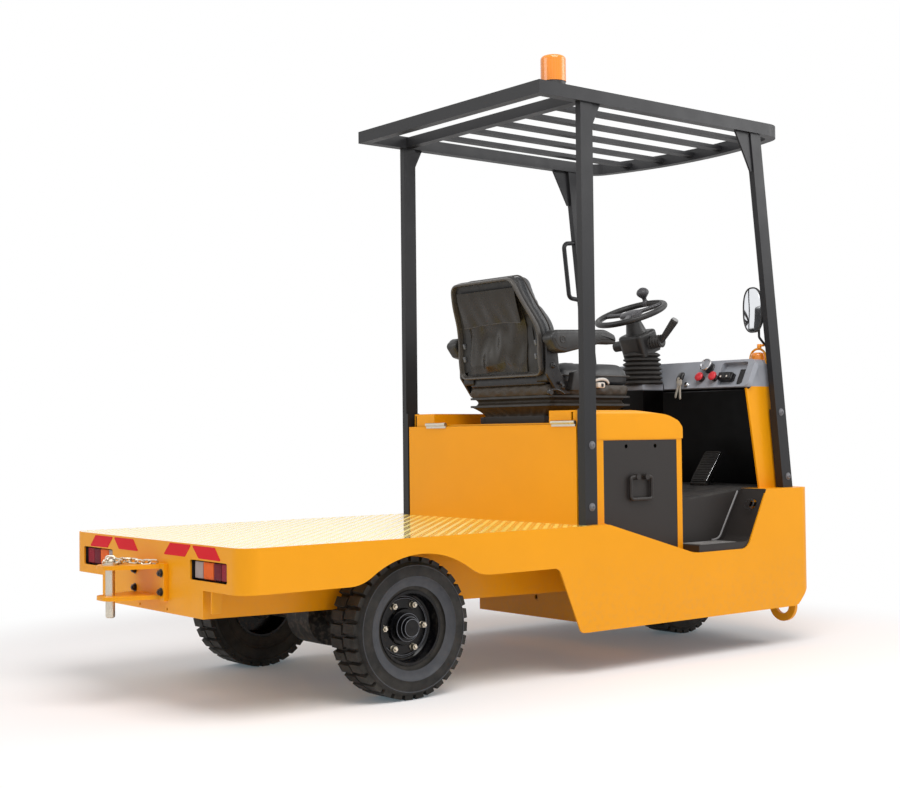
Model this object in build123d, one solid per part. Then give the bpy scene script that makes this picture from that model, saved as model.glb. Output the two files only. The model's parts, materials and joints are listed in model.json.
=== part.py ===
from build123d import *
import math
import os

os.makedirs("parts", exist_ok=True)

# Airport baggage tug: three wheels, rear load deck, seat box, operator station and slatted canopy.
# Millimetres. While modelling, X runs forward from the rear axle, Y to the left, Z up from the ground.

# Wheels
tyre_radius = 232.5
tyre_width = 140.0
lug_count = 32
lug_depth = 15.0
lug_tip_half_angle = 3.8
lug_root_half_angle = 4.3
centre_groove = 10.0
rim_radius = 118.0
rim_width = 120.0
wheel_bolt_circle = 80.0
wheel_face_y = 530.0
front_wheel_x = 1815.0
axle_radius = 18.0
turn_gap = 0.3

# Body plates
half_width = 587.0
plate = 6.0
deck_z = 531.0
deck_rear_x = -671.0
deck_corner = 60.0
apron_return = 75.0
side_depth = 140.0
valance_drop = 88.0
frame_inset = 236.0
frame_half = half_width - frame_inset
rail_fall = 0.019
pan_x = 1017.0
pan_z = 134.0
skirt_z = 155.0
skirt_start_x = 600.0
arch_radius = 360.0
arch_peak_z = 478.0
arch_blend = 150.0
ledge_z = 403.0
ledge_bend_x = 850.0
ledge_low_x = 1301.0
step_front_x = 1608.0
step_corner = 50.0
nose_z = 632.0
nose_start_x = 1727.0
nose_split_x = 1900.0
nose_front_x = 2110.0
nose_bow = 1510.0
nose_corner = 60.0
nose_rise_x = 1907.0
nose_toe_z = 224.0
ring_x = 1914.0
ring_thickness = 16.0
step_width = 127.0
riser_half = half_width - step_width
tread_z = 430.0
liner = 4.0
lamp_inset = 87.0
lamp_length = 229.0
lamp_height = 88.0
lamp_z = 450.0

# Seat box and hood
box_rear_x = 770.0
box_front_x = 1330.0
box_inset = 87.0
box_half = half_width - box_inset
box_rear_top_z = 894.0
hood_seam_z = 838.0
hood_top_z = 946.0
hood_gap = 0.3
hood_wall = 6.0
hood_shoulder = 16.0
hood_half = box_half + 3
hood_front_overlap = 12.0
well_half = box_half - 155
well_front_x = 1235.0
seat_floor_z = 901.0
hinge_left_y = box_half - 184
hinge_right_y = box_half - 63
hinge_length = 126.0
hinge_radius = 7.0
hinge_z = 902.0
panel_x0 = 908.0
panel_x1 = 1302.0
panel_gap = 15.0

# Operator floor and pedals
floor_rear_z = 595.0
mat = 4.0
pedal_x = 1768.0
pedal_length = 165.0
pedal_tilt = 38.0

# Cowl and dash
cowl_half = box_half
cowl_wall = 8.0
cowl_rear_x = 1790.0
cowl_rear_top_x = 1717.0
cowl_front_x = 2060.0
cowl_lean = 0.11
cowl_top_z = 1044.0
cowl_corner = 80.0
cowl_liner = 3.0
dash_top_z = 1156.0
dash_flange = 14.0
dash_shelf = 106.0
dash_shoulder = 28.0
headlamp_radius = 60.0
mirror_rise = 202.0
mirror_half_width = 48.0
mirror_half_height = 92.0
dash_face_x = 1704.0
dash_edge_x = 1764.0

# Steering
column_x = 1640.0
bellows_z0 = 1064.0
bellows_z1 = 1200.0
bellows_radius = 88.0
steer_tilt = 21.4
hand_wheel_x = 1577.0
hand_wheel_z = 1365.0
hand_wheel_radius = 146.0
hand_grip = 12.5

# Canopy and posts
canopy_rear_x = 563.0
canopy_front_x = 2005.0
canopy_z = 2063.0
canopy_depth = 48.0
canopy_rail = 40.0
canopy_corner = 110.0
canopy_bow = 1500.0
slat_count = 5
slat_width = 40.0
slat_depth = 16.0
beacon_radius = 46.0
beacon_height = 94.0
beacon_base = 14.0
post_length = 60.0
post_width = 26.0
post_foot_width = 36.0
post_gap = 9.0
post_outer = box_half + post_gap + post_foot_width
canopy_half = post_outer + 9
post_foot_z = 950.0
rear_post_x = 800.0
front_post_base_x = 1915.0
front_post_top_x = 1745.0

# Seat
seat_x0 = 880.0
seat_x1 = 1345.0
seat_half = 240.0
seat_plate_z = 1000.0
cushion_z = 1050.0
cushion_depth = 72.0
soft_gap = 0.3
back_foot = (842.0, 1082.0)
back_low_half = 242.0
back_top_half = 182.0
back_bend = 185.0
back_shell = 24.0
back_pad = 80.0
arm_x = 790.0
arm_z = 1165.0
arm_width = 56.0
back_height = 390.0
back_lean = 15.0

# Tow coupling
tow_plate_half = 125.0
tow_reach_x = -845.0
tow_pin_x = -810.0
tow_pin_radius = 15.0
pin_low_z = 288.0
tow_lower_z = 345.0
tow_upper_z = 443.0
tow_jaw = 13.0

# The part's origin lies on the ground at the middle of its length.
middle_x = (nose_front_x + tow_reach_x) / 2
sides = ((1, "left"), (-1, "right"))
on_base = (Align.CENTER, Align.CENTER, Align.MIN)


def save(shape, name):
    export_step(Pos(-middle_x, 0, 0) * shape, "parts/" + name + ".step")


def block(x0, x1, y0, y1, z0, z1):
    # A box given by its faces.
    return Pos((x0 + x1) / 2, (y0 + y1) / 2, (z0 + z1) / 2) * Box(abs(x1 - x0), abs(y1 - y0), abs(z1 - z0))


def outline(corners):
    # A closed face from corners given as (across, up, rounding radius).
    points = [(across, up) for across, up, rounding in corners]
    return make_face(FilletPolyline(*points, radius=[rounding for across, up, rounding in corners],
                                    close=True))


def side_plate(face, y0, y1):
    # A face drawn as (x, z), stood upright between two Y planes.
    low, high = min(y0, y1), max(y0, y1)
    return extrude(Plane.XZ.offset(-high) * face, amount=high - low)


def plan_plate(face, z0, z1):
    # A face drawn as (x, y), thickened between two levels.
    return extrude(Pos(0, 0, z0) * face, amount=z1 - z0)


def cross_plate(face, x0, x1):
    # A face drawn as (y, z), thickened between two X planes.
    return extrude(Plane.YZ.offset(x0) * face, amount=x1 - x0)


def rod(radius, x, z, y0, y1):
    # A round bar along Y.
    return side_plate(Pos(x, z) * Circle(radius), y0, y1)


def shoulders(half, top_z, radius, x0, x1):
    # What is cut away to round the two long top edges of a form.
    both = []
    for side, name in sides:
        y, z = side * (half - radius), top_z - radius
        corner = block(x0, x1, y, side * (half + radius), z, top_z + radius)
        both.append(corner - Pos((x0 + x1) / 2, y, z) * Rot(0, 90, 0) * Cylinder(radius, x1 - x0))
    return both


def bow_outline(rear_x, half, front_x, bow, corner):
    # A plan outline with straight sides, rounded front corners and a bowed front.
    side_x = front_x - bow + math.sqrt(bow ** 2 - half ** 2)
    edges = [
        Line((rear_x, -half), (side_x, -half)),
        ThreePointArc((side_x, -half), (front_x, 0), (side_x, half)),
        Line((side_x, half), (rear_x, half)),
        Line((rear_x, half), (rear_x, -half)),
    ]
    face = make_face(edges)
    return fillet(face.vertices().sort_by(Axis.X)[-2:], corner)


def lug_ring(turn):
    # One row of lugs with the base between them, as a toothed outline whose corners lie on the tread radius.
    corners = (
        # half angle, radius
        (-lug_root_half_angle, tyre_radius - lug_depth),
        (-lug_tip_half_angle, tyre_radius),
        (lug_tip_half_angle, tyre_radius),
        (lug_root_half_angle, tyre_radius - lug_depth),
    )
    points = []
    for number in range(lug_count):
        for angle, radius in corners:
            direction = math.radians(360 * number / lug_count + turn + angle)
            points.append((radius * math.cos(direction), radius * math.sin(direction)))
    shoulder = tyre_width / 2 - 5
    return plan_plate(make_face(Polyline(points, close=True)), centre_groove / 2, shoulder)


def tyre():
    # Solid tyre with its axis along Z: a carcass, then two rows of lugs half a pitch apart.
    half = tyre_width / 2
    side = [
        # radius, distance in from the tyre's face
        (rim_radius, 14), (rim_radius + 4, 14), (128, 12), (152, 8), (166, 4), (168, 1.5), (203, 1.5),
        (205, 0), (208, 0),
        (tyre_radius - lug_depth, 7),
    ]
    lower = [(radius, inward - half) for radius, inward in side]
    upper = [(radius, half - inward) for radius, inward in reversed(side)]
    carcass = revolve(Plane.XZ * make_face(Polyline(lower + upper, close=True)), Axis.Z)
    lowest_corner = 90 - lug_tip_half_angle
    far_row = Rot(180, 0, 0) * lug_ring(lowest_corner + 180 / lug_count)
    bore = Cylinder(rim_radius + 40, tyre_width)
    return carcass + (lug_ring(lowest_corner) - bore) + (far_row - bore)


def rim(bore):
    # Deep dished disc wheel with a stepped hub cap and bolt ring; the outer side faces +Z.
    lip = rim_width / 2
    front = [
        # radius, height
        (rim_radius, lip - 4), (rim_radius + 4, lip - 4), (rim_radius + 4, lip), (rim_radius - 5, lip),
        (rim_radius - 7, lip - 10), (rim_radius - 10, 20), (102, 15), (97, 15), (95, 19), (91, 19), (89, 15),
        (62, 15), (58, 26), (46, 26), (45, 44), (36, 44), (35, 56), (29, 56), (28, 66), (0, 66), (0, 52),
        (bore, 52),
    ]
    back = [
        (bore, -40), (46, -40), (48, 5), (104, 5), (rim_radius - 8, -20), (rim_radius - 5, -lip),
        (rim_radius + 4, -lip), (rim_radius + 4, 4 - lip), (rim_radius, 4 - lip),
    ]
    body = revolve(Plane.XZ * make_face(Polyline(front + back, close=True)), Axis.Z)
    bolts = PolarLocations(wheel_bolt_circle, 6) * extrude(Pos(0, 0, 14) * RegularPolygon(10, 6), 13)
    return body + bolts


def on_axle(shape, x, y, side):
    # Turns a wheel piece so that its outer side faces away from the centreline.
    return Pos(x, y, tyre_radius) * Rot(-90 * side, 0, 0) * shape


def rear_wheels():
    middle_y = wheel_face_y - tyre_width / 2
    for side, name in sides:
        save(on_axle(tyre(), 0, side * middle_y, side), "rear_tyre_" + name)
        save(on_axle(rim(axle_radius + turn_gap), 0, side * middle_y, side), "rear_rim_" + name)


def rear_axle():
    # Axle tube with stub ends, a central gear case and the drive motor ahead of it.
    middle_y = wheel_face_y - tyre_width / 2
    stub_end = middle_y + 48
    flange_y = middle_y - 44
    tube = rod(36, 0, tyre_radius, -flange_y, flange_y)
    stubs = rod(axle_radius, 0, tyre_radius, -stub_end, stub_end)
    case = rod(105, 0, tyre_radius, -70, 70)
    motor = Pos(60, 0, tyre_radius) * Rot(0, 90, 0) * Cylinder(85, 260, align=on_base)
    shape = tube + stubs + case + motor
    saddle = outline([(-60, tyre_radius, 0), (60, tyre_radius, 0), (60, rail_low(60), 0),
                      (-60, rail_low(-60), 0)])
    for side, name in sides:
        shape += side_plate(saddle, side * (frame_half - 81), side * frame_half)
        shape += rod(56, 0, tyre_radius, side * (flange_y - 14), side * flange_y)
    save(shape, "rear_axle")


def front_axle_group():
    # Fork with two legs under a crown, the kingpin above, and the steered wheel between the legs.
    leg_in = tyre_width / 2 + 15
    leg = outline([(-45, tyre_radius, 0), (45, tyre_radius, 0), (60, 500, 0), (60, 545, 10),
                   (-60, 545, 10), (-60, 500, 0)])
    fork = None
    for side, name in sides:
        near, far = side * leg_in, side * (leg_in + 16)
        arm = side_plate(leg, near, far) + rod(45, 0, tyre_radius, near, far)
        fork = arm if fork is None else fork + arm
    fork += block(-60, 60, -leg_in, leg_in, 515, 545)
    fork += Pos(0, 0, 545) * Cylinder(62, 14.7, align=on_base)
    fork += Pos(0, 0, 545) * Cylinder(30, 60, align=on_base)
    fork += rod(axle_radius, 0, tyre_radius, -leg_in, leg_in)
    save(Pos(front_wheel_x, 0, 0) * fork, "steering_fork")
    save(on_axle(tyre(), front_wheel_x, 0, 1), "front_tyre")
    half = rim_width / 2
    section = make_face(Polyline([
        (rim_radius, 4 - half), (rim_radius, half - 4), (rim_radius + 4, half - 4), (rim_radius + 4, half),
        (rim_radius - 5, half), (rim_radius - 14, 18), (50, 10), (48, 70), (axle_radius + turn_gap, 70),
        (axle_radius + turn_gap, -70), (48, -70), (50, -10), (rim_radius - 14, -18), (rim_radius - 5, -half),
        (rim_radius + 4, -half), (rim_radius + 4, 4 - half),
    ], close=True))
    save(on_axle(revolve(Plane.XZ * section, Axis.Z), front_wheel_x, 0, 1), "front_rim")


def front_subframe():
    # Bearing plate over the fork, reaching to both skirts, with the kingpin's bore.
    z0 = 560
    width = half_width - plate
    shape = block(nose_start_x + 8, nose_split_x - 5, -width, width, z0, z0 + 15)
    shape += block(step_front_x - 48, nose_front_x - 85, 10 - riser_half, riser_half - 10, z0, z0 + 15)
    bore = Pos(front_wheel_x, 0, z0) * Cylinder(30 + turn_gap, 100)
    shape += Pos(front_wheel_x, 0, z0 + 15) * Cylinder(60, 26, align=on_base)
    save(shape - bore, "front_subframe")


def deck():
    inset = plate
    x0 = deck_rear_x + inset
    y = half_width - inset
    radius = deck_corner - inset
    face = outline([(x0, -y, radius), (box_rear_x, -y, 0), (box_rear_x, y, 0), (x0, y, radius)])
    save(plan_plate(face, deck_z - plate, deck_z), "deck_plate")


def lamp_window(side, grow=0.0):
    # Window for a tail lamp, drawn as (y, z).
    middle = half_width - lamp_inset - lamp_length / 2
    return Pos(side * middle, lamp_z) * RectangleRounded(lamp_length + 2 * grow, lamp_height + 2 * grow, 6)


def rear_apron():
    x_end = deck_rear_x + apron_return
    z0 = deck_z - side_depth
    outer = outline([(deck_rear_x, -half_width, deck_corner), (x_end, -half_width, 0),
                     (x_end, half_width, 0),
                     (deck_rear_x, half_width, deck_corner)])
    y = half_width - plate
    x0 = deck_rear_x + plate
    inner = outline([(x0, -y, deck_corner - plate), (x_end + 1, -y, 0), (x_end + 1, y, 0),
                     (x0, y, deck_corner - plate)])
    shape = plan_plate(outer, z0, deck_z) - plan_plate(inner, z0 - 1, deck_z + 1)
    shape += block(deck_rear_x, x0, -frame_half, frame_half, z0 - valance_drop, z0)
    for side, name in sides:
        shape -= cross_plate(lamp_window(side), deck_rear_x - 1, x0 + 1)
    for y_hole in (70, -118):
        shape -= Pos(deck_rear_x, y_hole, 315) * Rot(0, 90, 0) * Cylinder(5, 40)
    save(shape, "rear_apron")
    trays = []
    lenses = []
    for side, name in sides:
        tray = cross_plate(lamp_window(side, 10), x0, x0 + 28)
        tray -= cross_plate(lamp_window(side), x0 - 1, x0 + 25)
        trays.append(tray)
        inner_end = half_width - lamp_inset - lamp_length
        for share_from, share_to in ((0.02, 0.25), (0.26, 0.47), (0.48, 0.98)):
            y0 = side * (inner_end + share_from * lamp_length)
            y1 = side * (inner_end + share_to * lamp_length)
            lenses.append(block(x0 + 5, x0 + 25, y0, y1, lamp_z - lamp_height / 2 + 2,
                                lamp_z + lamp_height / 2 - 2))
    save(Compound(trays), "tail_lamp_trays")
    save(Compound(lenses), "tail_lamp_lenses")


def skirts():
    z0 = deck_z - side_depth
    face = outline([
        (deck_rear_x + apron_return, z0, 0),
        (skirt_start_x, z0, 30),
        (skirt_start_x + 103, skirt_z, 25),
        (nose_split_x, skirt_z, 0),
        (nose_split_x, nose_z, 0),
        (nose_start_x, nose_z, 6),
        (step_front_x, ledge_z, step_corner),
        (ledge_low_x, ledge_z, 12),
        (ledge_bend_x, deck_z, 12),
        (deck_rear_x + apron_return, deck_z, 0),
    ])
    face -= Pos(0, arch_peak_z - arch_radius) * Circle(arch_radius)
    reach = math.sqrt(arch_radius ** 2 - (z0 - arch_peak_z + arch_radius) ** 2)
    ends = [v for v in face.vertices() if abs(abs(v.X) - reach) < 1 and abs(v.Y - z0) < 1]
    face = fillet(ends, arch_blend)
    both = [side_plate(face, side * (half_width - plate), side * half_width) for side, name in sides]
    save(Compound(both), "side_skirts")


def step_hole(side, radius):
    # Round hole through the slanted front of the step.
    place = Pos(step_front_x + 64, side * (half_width - 42), nose_z - 60)
    return place * Rot(0, 90, 0) * Cylinder(radius, 70)


def ledges():
    # Bent plate between the skirt's top edge and the seat box, then down to the step and up to the nose.
    top = [(box_rear_x, deck_z, 0), (ledge_bend_x, deck_z, 12), (ledge_low_x, ledge_z, 12),
           (step_front_x, ledge_z, step_corner), (nose_start_x - 3, nose_z - plate, 0)]
    low = [(nose_start_x + 4, nose_z - plate, 0), (step_front_x + 4, ledge_z - plate, step_corner + plate),
           (ledge_low_x, ledge_z - plate, 12), (ledge_bend_x, deck_z - plate, 12),
           (box_rear_x, deck_z - plate, 0)]
    face = outline(top + low)
    outer = half_width - plate
    both = []
    for side, name in sides:
        shape = side_plate(face, side * riser_half, side * outer)
        shape -= block(0, box_front_x, side * (riser_half - 1), side * box_half, 0, 900)
        both.append(shape - step_hole(side, 26))
    save(Compound(both), "side_ledges")


def nose_solid(inset):
    # The nose's outer form, with every face moved in by the same amount.
    face = bow_outline(nose_split_x, half_width - inset, nose_front_x - inset, nose_bow - inset,
                       nose_corner - inset)
    return plan_plate(face, skirt_z, nose_z - inset)


def nose():
    shape = nose_solid(0) - Pos(-plate, 0, 0) * nose_solid(plate) - nose_solid(plate)
    shape += block(nose_start_x, nose_split_x, -half_width + plate, half_width - plate, nose_z - plate,
                   nose_z)
    below = outline([(nose_split_x - 50, skirt_z - 40, 0), (nose_split_x - 50, skirt_z, 0),
                     (nose_rise_x + 8, skirt_z, 60),
                     (nose_rise_x + 78, nose_toe_z, 40), (nose_front_x + 50, nose_toe_z, 0),
                     (nose_front_x + 50, skirt_z - 40, 0)])
    shape -= side_plate(below, -half_width - 10, half_width + 10)
    save(shape, "nose_shell")
    rings = []
    for side, name in sides:
        ring = Circle(65) - Circle(34)
        ring = cross_plate(Pos(side * (half_width - 81), skirt_z - 5) * ring, ring_x,
                           ring_x + ring_thickness)
        rings.append(ring + block(ring_x, ring_x + ring_thickness, side * (half_width - 42),
                                  side * (half_width - plate),
                                  skirt_z + 5, skirt_z + 55))
    save(Compound(rings), "lashing_rings")


def rail_low(x):
    # Level of the side rails' lower edge, which falls gently towards the front.
    return deck_z - side_depth - valance_drop - rail_fall * (x - deck_rear_x)


def main_frame():
    # Two deep side rails under the deck with cross members between them, and a low pan under the seat box.
    z1 = deck_z - plate
    notch_x, notch_z = deck_rear_x + 46, rail_low(deck_rear_x) + 90
    rear_x = deck_rear_x + plate
    rail = outline([(rear_x, rail_low(rear_x), 0), (pan_x, rail_low(pan_x), 0), (pan_x, pan_z, 0),
                    (box_front_x, pan_z, 0),
                    (box_front_x, z1, 0), (notch_x, z1, 0), (notch_x, notch_z, 10), (rear_x, notch_z, 0)])
    shape = None
    for side, name in sides:
        web = side_plate(rail, side * frame_half, side * (frame_half - plate))
        shape = web if shape is None else shape + web
    inner = frame_half - plate
    for x in (notch_x + 10, -330, 390, box_rear_x):
        shape += block(x, x + plate, -inner, inner, rail_low(x) + 30, z1)
    wall = block(pan_x, pan_x + plate, -inner, inner, pan_z, deck_z - side_depth)
    shape += wall - Pos(pan_x, 0, pan_z + 78) * Rot(0, 90, 0) * Cylinder(9, 40)
    shape += block(pan_x, box_front_x, -inner, inner, pan_z, pan_z + plate)
    shape += block(box_front_x - plate, box_front_x, -inner, inner, pan_z, z1)
    save(shape, "main_frame")
    return shape


def seat_box(frame):
    wall = 4.0
    z0 = ledge_z - plate
    outer = block(box_rear_x, box_front_x, -box_half, box_half, z0, hood_seam_z)
    shape = outer - block(box_rear_x + wall, box_front_x - wall, -box_half + wall, box_half - wall, z0 - 1,
                          1000)
    shape += block(box_rear_x, box_rear_x + wall, -box_half, box_half, z0, box_rear_top_z)
    fall = (deck_z - ledge_z) / (ledge_low_x - ledge_bend_x)
    panel_z0, panel_z1 = [deck_z + panel_gap - fall * (x - ledge_bend_x) for x in (panel_x0, panel_x1)]
    door = outline([(panel_x0, panel_z0, 0), (panel_x1, panel_z1, 0), (panel_x1, hood_seam_z - 4, 0),
                    (panel_x0, hood_seam_z - 4, 0)])
    shape -= side_plate(door, -box_half - 1, -box_half + wall + 1)
    shape -= side_plate(door, box_half + 1, box_half - wall - 1)
    for x in (box_rear_x + wall, box_front_x - wall - 30):
        shape += block(x, x + 30, -frame_half, frame_half, deck_z - plate, deck_z)
    save(shape - frame, "seat_box")
    panels = []
    for side, name in sides:
        panel = side_plate(door, side * (box_half - wall), side * (box_half - 1))
        for x in (1028, 1184):
            panel -= rod(8, x, 811, side * (box_half - 10), side * (box_half + 10))
        grip = FilletPolyline((1070, 0, 696), (1040, 0, 696), (1040, 0, 613), (1152, 0, 613),
                              (1152, 0, 696), (1122, 0, 696),
                              radius=12)
        bar = sweep(Plane(grip @ 0, z_dir=grip % 0) * Circle(7), grip)
        panel += Pos(0, side * (box_half + 9), 0) * bar
        for x in (1072, 1120):
            panel += rod(11, x, 696, side * (box_half - 1.5), side * (box_half + 20))
        panels.append(panel)
    save(Compound(panels), "side_panels")


def battery():
    half = box_half - 80
    save(block(box_rear_x + 60, box_front_x - 60, -half, half, deck_z - plate, hood_seam_z - 23),
         "battery_block")


def hood_form(inset):
    # The hood's outer form before the well is cut, with its faces moved in.
    front_x = box_front_x + hood_front_overlap - inset
    top_z = hood_top_z - inset
    rear_x = box_rear_x + 12 - inset / 3
    profile = outline([
        (rear_x, hood_seam_z - 5 * inset, 0),
        (front_x, hood_seam_z - 5 * inset, 0),
        (front_x - 7, top_z - 66, 25),
        (front_x - 30, top_z - 40, 40),
        (front_x - 90, top_z - 17, 200),
        (front_x - 260, top_z, 600),
        (rear_x, top_z, 0),
    ])
    half = hood_half - inset
    plan = outline([(rear_x, -half, 40), (front_x, -half, 12), (front_x, half, 12), (rear_x, half, 40)])
    shape = side_plate(profile, -half - 10, half + 10) & plan_plate(plan, 0, top_z + 10)
    return shape - shoulders(half, top_z, hood_shoulder, rear_x - 10, front_x + 10)


def seat_well(grow):
    # The sunk place for the seat, open to the rear.
    half = well_half + grow
    plan = outline([(box_rear_x - 60, -half, 0), (well_front_x + grow, -half, 40 + grow),
                    (well_front_x + grow, half, 40 + grow),
                    (box_rear_x - 60, half, 0)])
    return plan_plate(plan, seat_floor_z - grow, hood_top_z + 50)


def hood():
    # Lid over the seat box: two raised side lobes joined in front, and a lower seat floor between them.
    shape = hood_form(0) - seat_well(0)
    shape -= hood_form(hood_wall) - seat_well(hood_wall)
    shape -= block(box_rear_x - 30, box_rear_x + 12 + hood_wall, -hood_half - 1, hood_half + 1, 700,
                   box_rear_top_z + hood_gap)
    rear_x = box_rear_x + 12
    for side, name in sides:
        shape += block(rear_x, rear_x + hood_wall, side * well_half, side * (hood_half - 40),
                       box_rear_top_z + hood_gap,
                       hood_top_z - hood_wall)
    leaf_x = box_rear_x - 4 + hinge_radius + turn_gap
    pins = []
    for middle_y in (hinge_left_y, -hinge_right_y):
        y0 = middle_y - hinge_length / 2
        y1 = middle_y + hinge_length / 2
        shape += block(leaf_x, rear_x + 5, y0, y1, seat_floor_z - 4, seat_floor_z)
        barrel = rod(hinge_radius, box_rear_x - 4, hinge_z, y0, y1)
        pins.append(barrel + block(box_rear_x - 4, box_rear_x, y0, y1, seat_floor_z - 14, hinge_z))
    save(shape, "hood")
    save(Compound(pins), "hood_hinges")


def floor():
    # Sloping floor, then a separate mat over the nose inside the cowl.
    rise = outline([(box_front_x, floor_rear_z, 0), (nose_start_x, nose_z + mat, 0),
                    (nose_start_x, nose_z - plate, 0),
                    (box_front_x, floor_rear_z - plate, 0)])
    shape = side_plate(rise, -riser_half, riser_half)
    shape += block(nose_start_x, cowl_rear_x, -riser_half, riser_half, nose_z, nose_z + mat)
    inner = cowl_form(cowl_wall + cowl_liner, nose_z - 1, nose_z + 50, cowl_rear_x)
    front = inner & block(cowl_rear_x + turn_gap, cowl_front_x, -cowl_half, cowl_half, nose_z, nose_z + mat)
    save(Compound([shape, front]), "footwell_floor")


def step_wells():
    # On each side an upright riser, a thick tread and a thin liner up the slanted front, as one moulding.
    riser = outline([(box_front_x, ledge_z, 0), (step_front_x, ledge_z, 0),
                     (nose_start_x, nose_z - plate, 0),
                     (box_front_x, floor_rear_z - plate, 0)])
    slope = (nose_start_x - 3 - step_front_x) / (nose_z - plate - ledge_z)
    tread_front_x = step_front_x + slope * (tread_z - ledge_z) - liner
    well = outline([(box_front_x + 2, ledge_z, 0), (step_front_x, ledge_z, step_corner),
                    (nose_start_x - 3, nose_z - plate, 0),
                    (nose_start_x - 3 - liner, nose_z - plate, 0), (tread_front_x, tread_z, 40),
                    (box_front_x + 2, tread_z, 4)])
    both = []
    for side, name in sides:
        shape = side_plate(riser, side * (riser_half - plate), side * riser_half)
        shape += side_plate(well, side * riser_half, side * (half_width - plate))
        both.append(shape - step_hole(side, 18))
    save(Compound(both), "step_wells")


def pedals():
    # Two pedals hinged at the floor and leaning forward, each with a stay behind it.
    both = []
    z = nose_z + mat
    for y, width in ((-195, 84), (60, 70)):
        pad = block(-6, 6, y - width / 2, y + width / 2, 0, pedal_length)
        stay = block(4, 60, y - 8, y + 8, pedal_length / 3, pedal_length / 3 + 14)
        shape = Pos(pedal_x, 0, z + 8) * Rot(0, pedal_tilt, 0) * (pad + stay)
        shape += rod(8, pedal_x, z + 8, y - width / 2, y + width / 2)
        shape += block(pedal_x - 10, pedal_x + 70, y - 14, y + 14, z, z + 6)
        shape += block(pedal_x + 50, pedal_x + 66, y - 8, y + 8, z, z + 40)
        both.append(shape - block(pedal_x - 100, pedal_x + 300, y - width, y + width, nose_z - 100, z))
    save(Compound(both), "pedals")


def cowl_form(inset, z0, z1, rear_x):
    # The cowl's plan at two levels, leaning back as it rises.
    faces = []
    for z in (z0, z1):
        front = cowl_front_x - inset - cowl_lean * (z - nose_z)
        faces.append(Pos(0, 0, z) * bow_outline(rear_x, cowl_half - inset, front, nose_bow,
                                                cowl_corner - inset))
    return loft(faces)


def cowl_wall_form(outer, inner, setback):
    # One upright wall round the operator's feet, its rear edges slanted.
    wall = cowl_form(outer, nose_z, cowl_top_z, cowl_rear_top_x)
    wall -= cowl_form(inner, nose_z - 1, cowl_top_z + 1, cowl_rear_top_x - 20)
    slant = outline([(cowl_rear_top_x - 60, nose_z - 10, 0), (cowl_rear_x + setback, nose_z, 0),
                     (cowl_rear_top_x + setback, cowl_top_z, 0), (cowl_rear_top_x - 60, cowl_top_z + 10, 0)])
    corner = outline([(cowl_rear_top_x - 60, nose_z - 10, 0), (cowl_rear_x + setback, nose_z - 10, 0),
                      (cowl_rear_x + setback, nose_z, 0), (cowl_rear_top_x - 60, nose_z, 0)])
    for face in (slant, corner):
        wall -= side_plate(face, -2 * cowl_half, 2 * cowl_half)
    return wall


def cowl(dash):
    save(cowl_wall_form(0, cowl_wall, 0) - dash, "front_cowl")


def dash_plane():
    # Lies in the dash's sloped face: X to the right, Y up the slope, Z out towards the driver.
    run = dash_edge_x - dash_face_x
    rise = dash_top_z - cowl_top_z
    return Plane((dash_face_x, 0, cowl_top_z), x_dir=(0, -1, 0), z_dir=(-rise, 0, run))


def console():
    # Dash moulding over the cowl, with a switch bay and a slot on the right, and the dark liner below it.
    side = outline([(dash_face_x, cowl_top_z, 5), (dash_edge_x, dash_top_z, 16),
                    (dash_edge_x + dash_shelf, dash_top_z, 60),
                    (cowl_front_x - 70, cowl_top_z, 0)])
    shape = cowl_form(0, cowl_top_z - 5, dash_top_z + 20, dash_face_x - 100)
    shape &= side_plate(side, -cowl_half - 50, cowl_half + 50)
    shape -= shoulders(cowl_half, dash_top_z, dash_shoulder, dash_face_x - 10, cowl_front_x)
    face = dash_plane()
    slope = math.hypot(dash_edge_x - dash_face_x, dash_top_z - cowl_top_z)
    flange = RectangleRounded(2 * (cowl_half + dash_flange), slope, 24)
    shape += face * Pos(0, slope / 2, -28) * extrude(flange, 28)
    shape += cowl_wall_form(cowl_wall, cowl_wall + cowl_liner, 2)
    shape -= Pos(column_x, 0, bellows_z0) * Cylinder(bellows_radius + 4, 400)
    bay_x, bay_y = cowl_half - 84, slope / 2 - 1
    shape -= face * Pos(bay_x, bay_y, -22) * extrude(RectangleRounded(133, 106, 12), 60)
    shape -= face * Pos(bay_x + 45, bay_y - 6, -40) * extrude(RectangleRounded(14, 66, 3), 60)
    save(shape, "dash_console")
    controls = []
    for across, up, depth, radius, height in (
        # place to the right and up the slope, depth of the seat, radius, height
        (280, 92, 0, 26, 30),
        (246, 50, 0, 20, 26),
        (308, 50, 0, 18, 22),
        (210, 18, 0, 10, 14),
    ):
        controls.append(face * Pos(across, up, depth) * Cylinder(radius, height, align=on_base))
    controls.append(face * Pos(bay_x - 22, bay_y - 10, -22) * extrude(RectangleRounded(72, 34, 4), 16))
    save(Compound(controls), "dash_controls")
    return shape


def taper(start, end, start_radius, end_radius):
    # A round bar between two points, narrowing or widening along the way.
    along = Vector(end) - Vector(start)
    return Plane(start, z_dir=along) * extrude_taper(start_radius, end_radius, along.length)


def extrude_taper(start_radius, end_radius, length):
    if start_radius == end_radius:
        return Cylinder(start_radius, length, align=on_base)
    return Cone(start_radius, end_radius, length, align=on_base)


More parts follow.
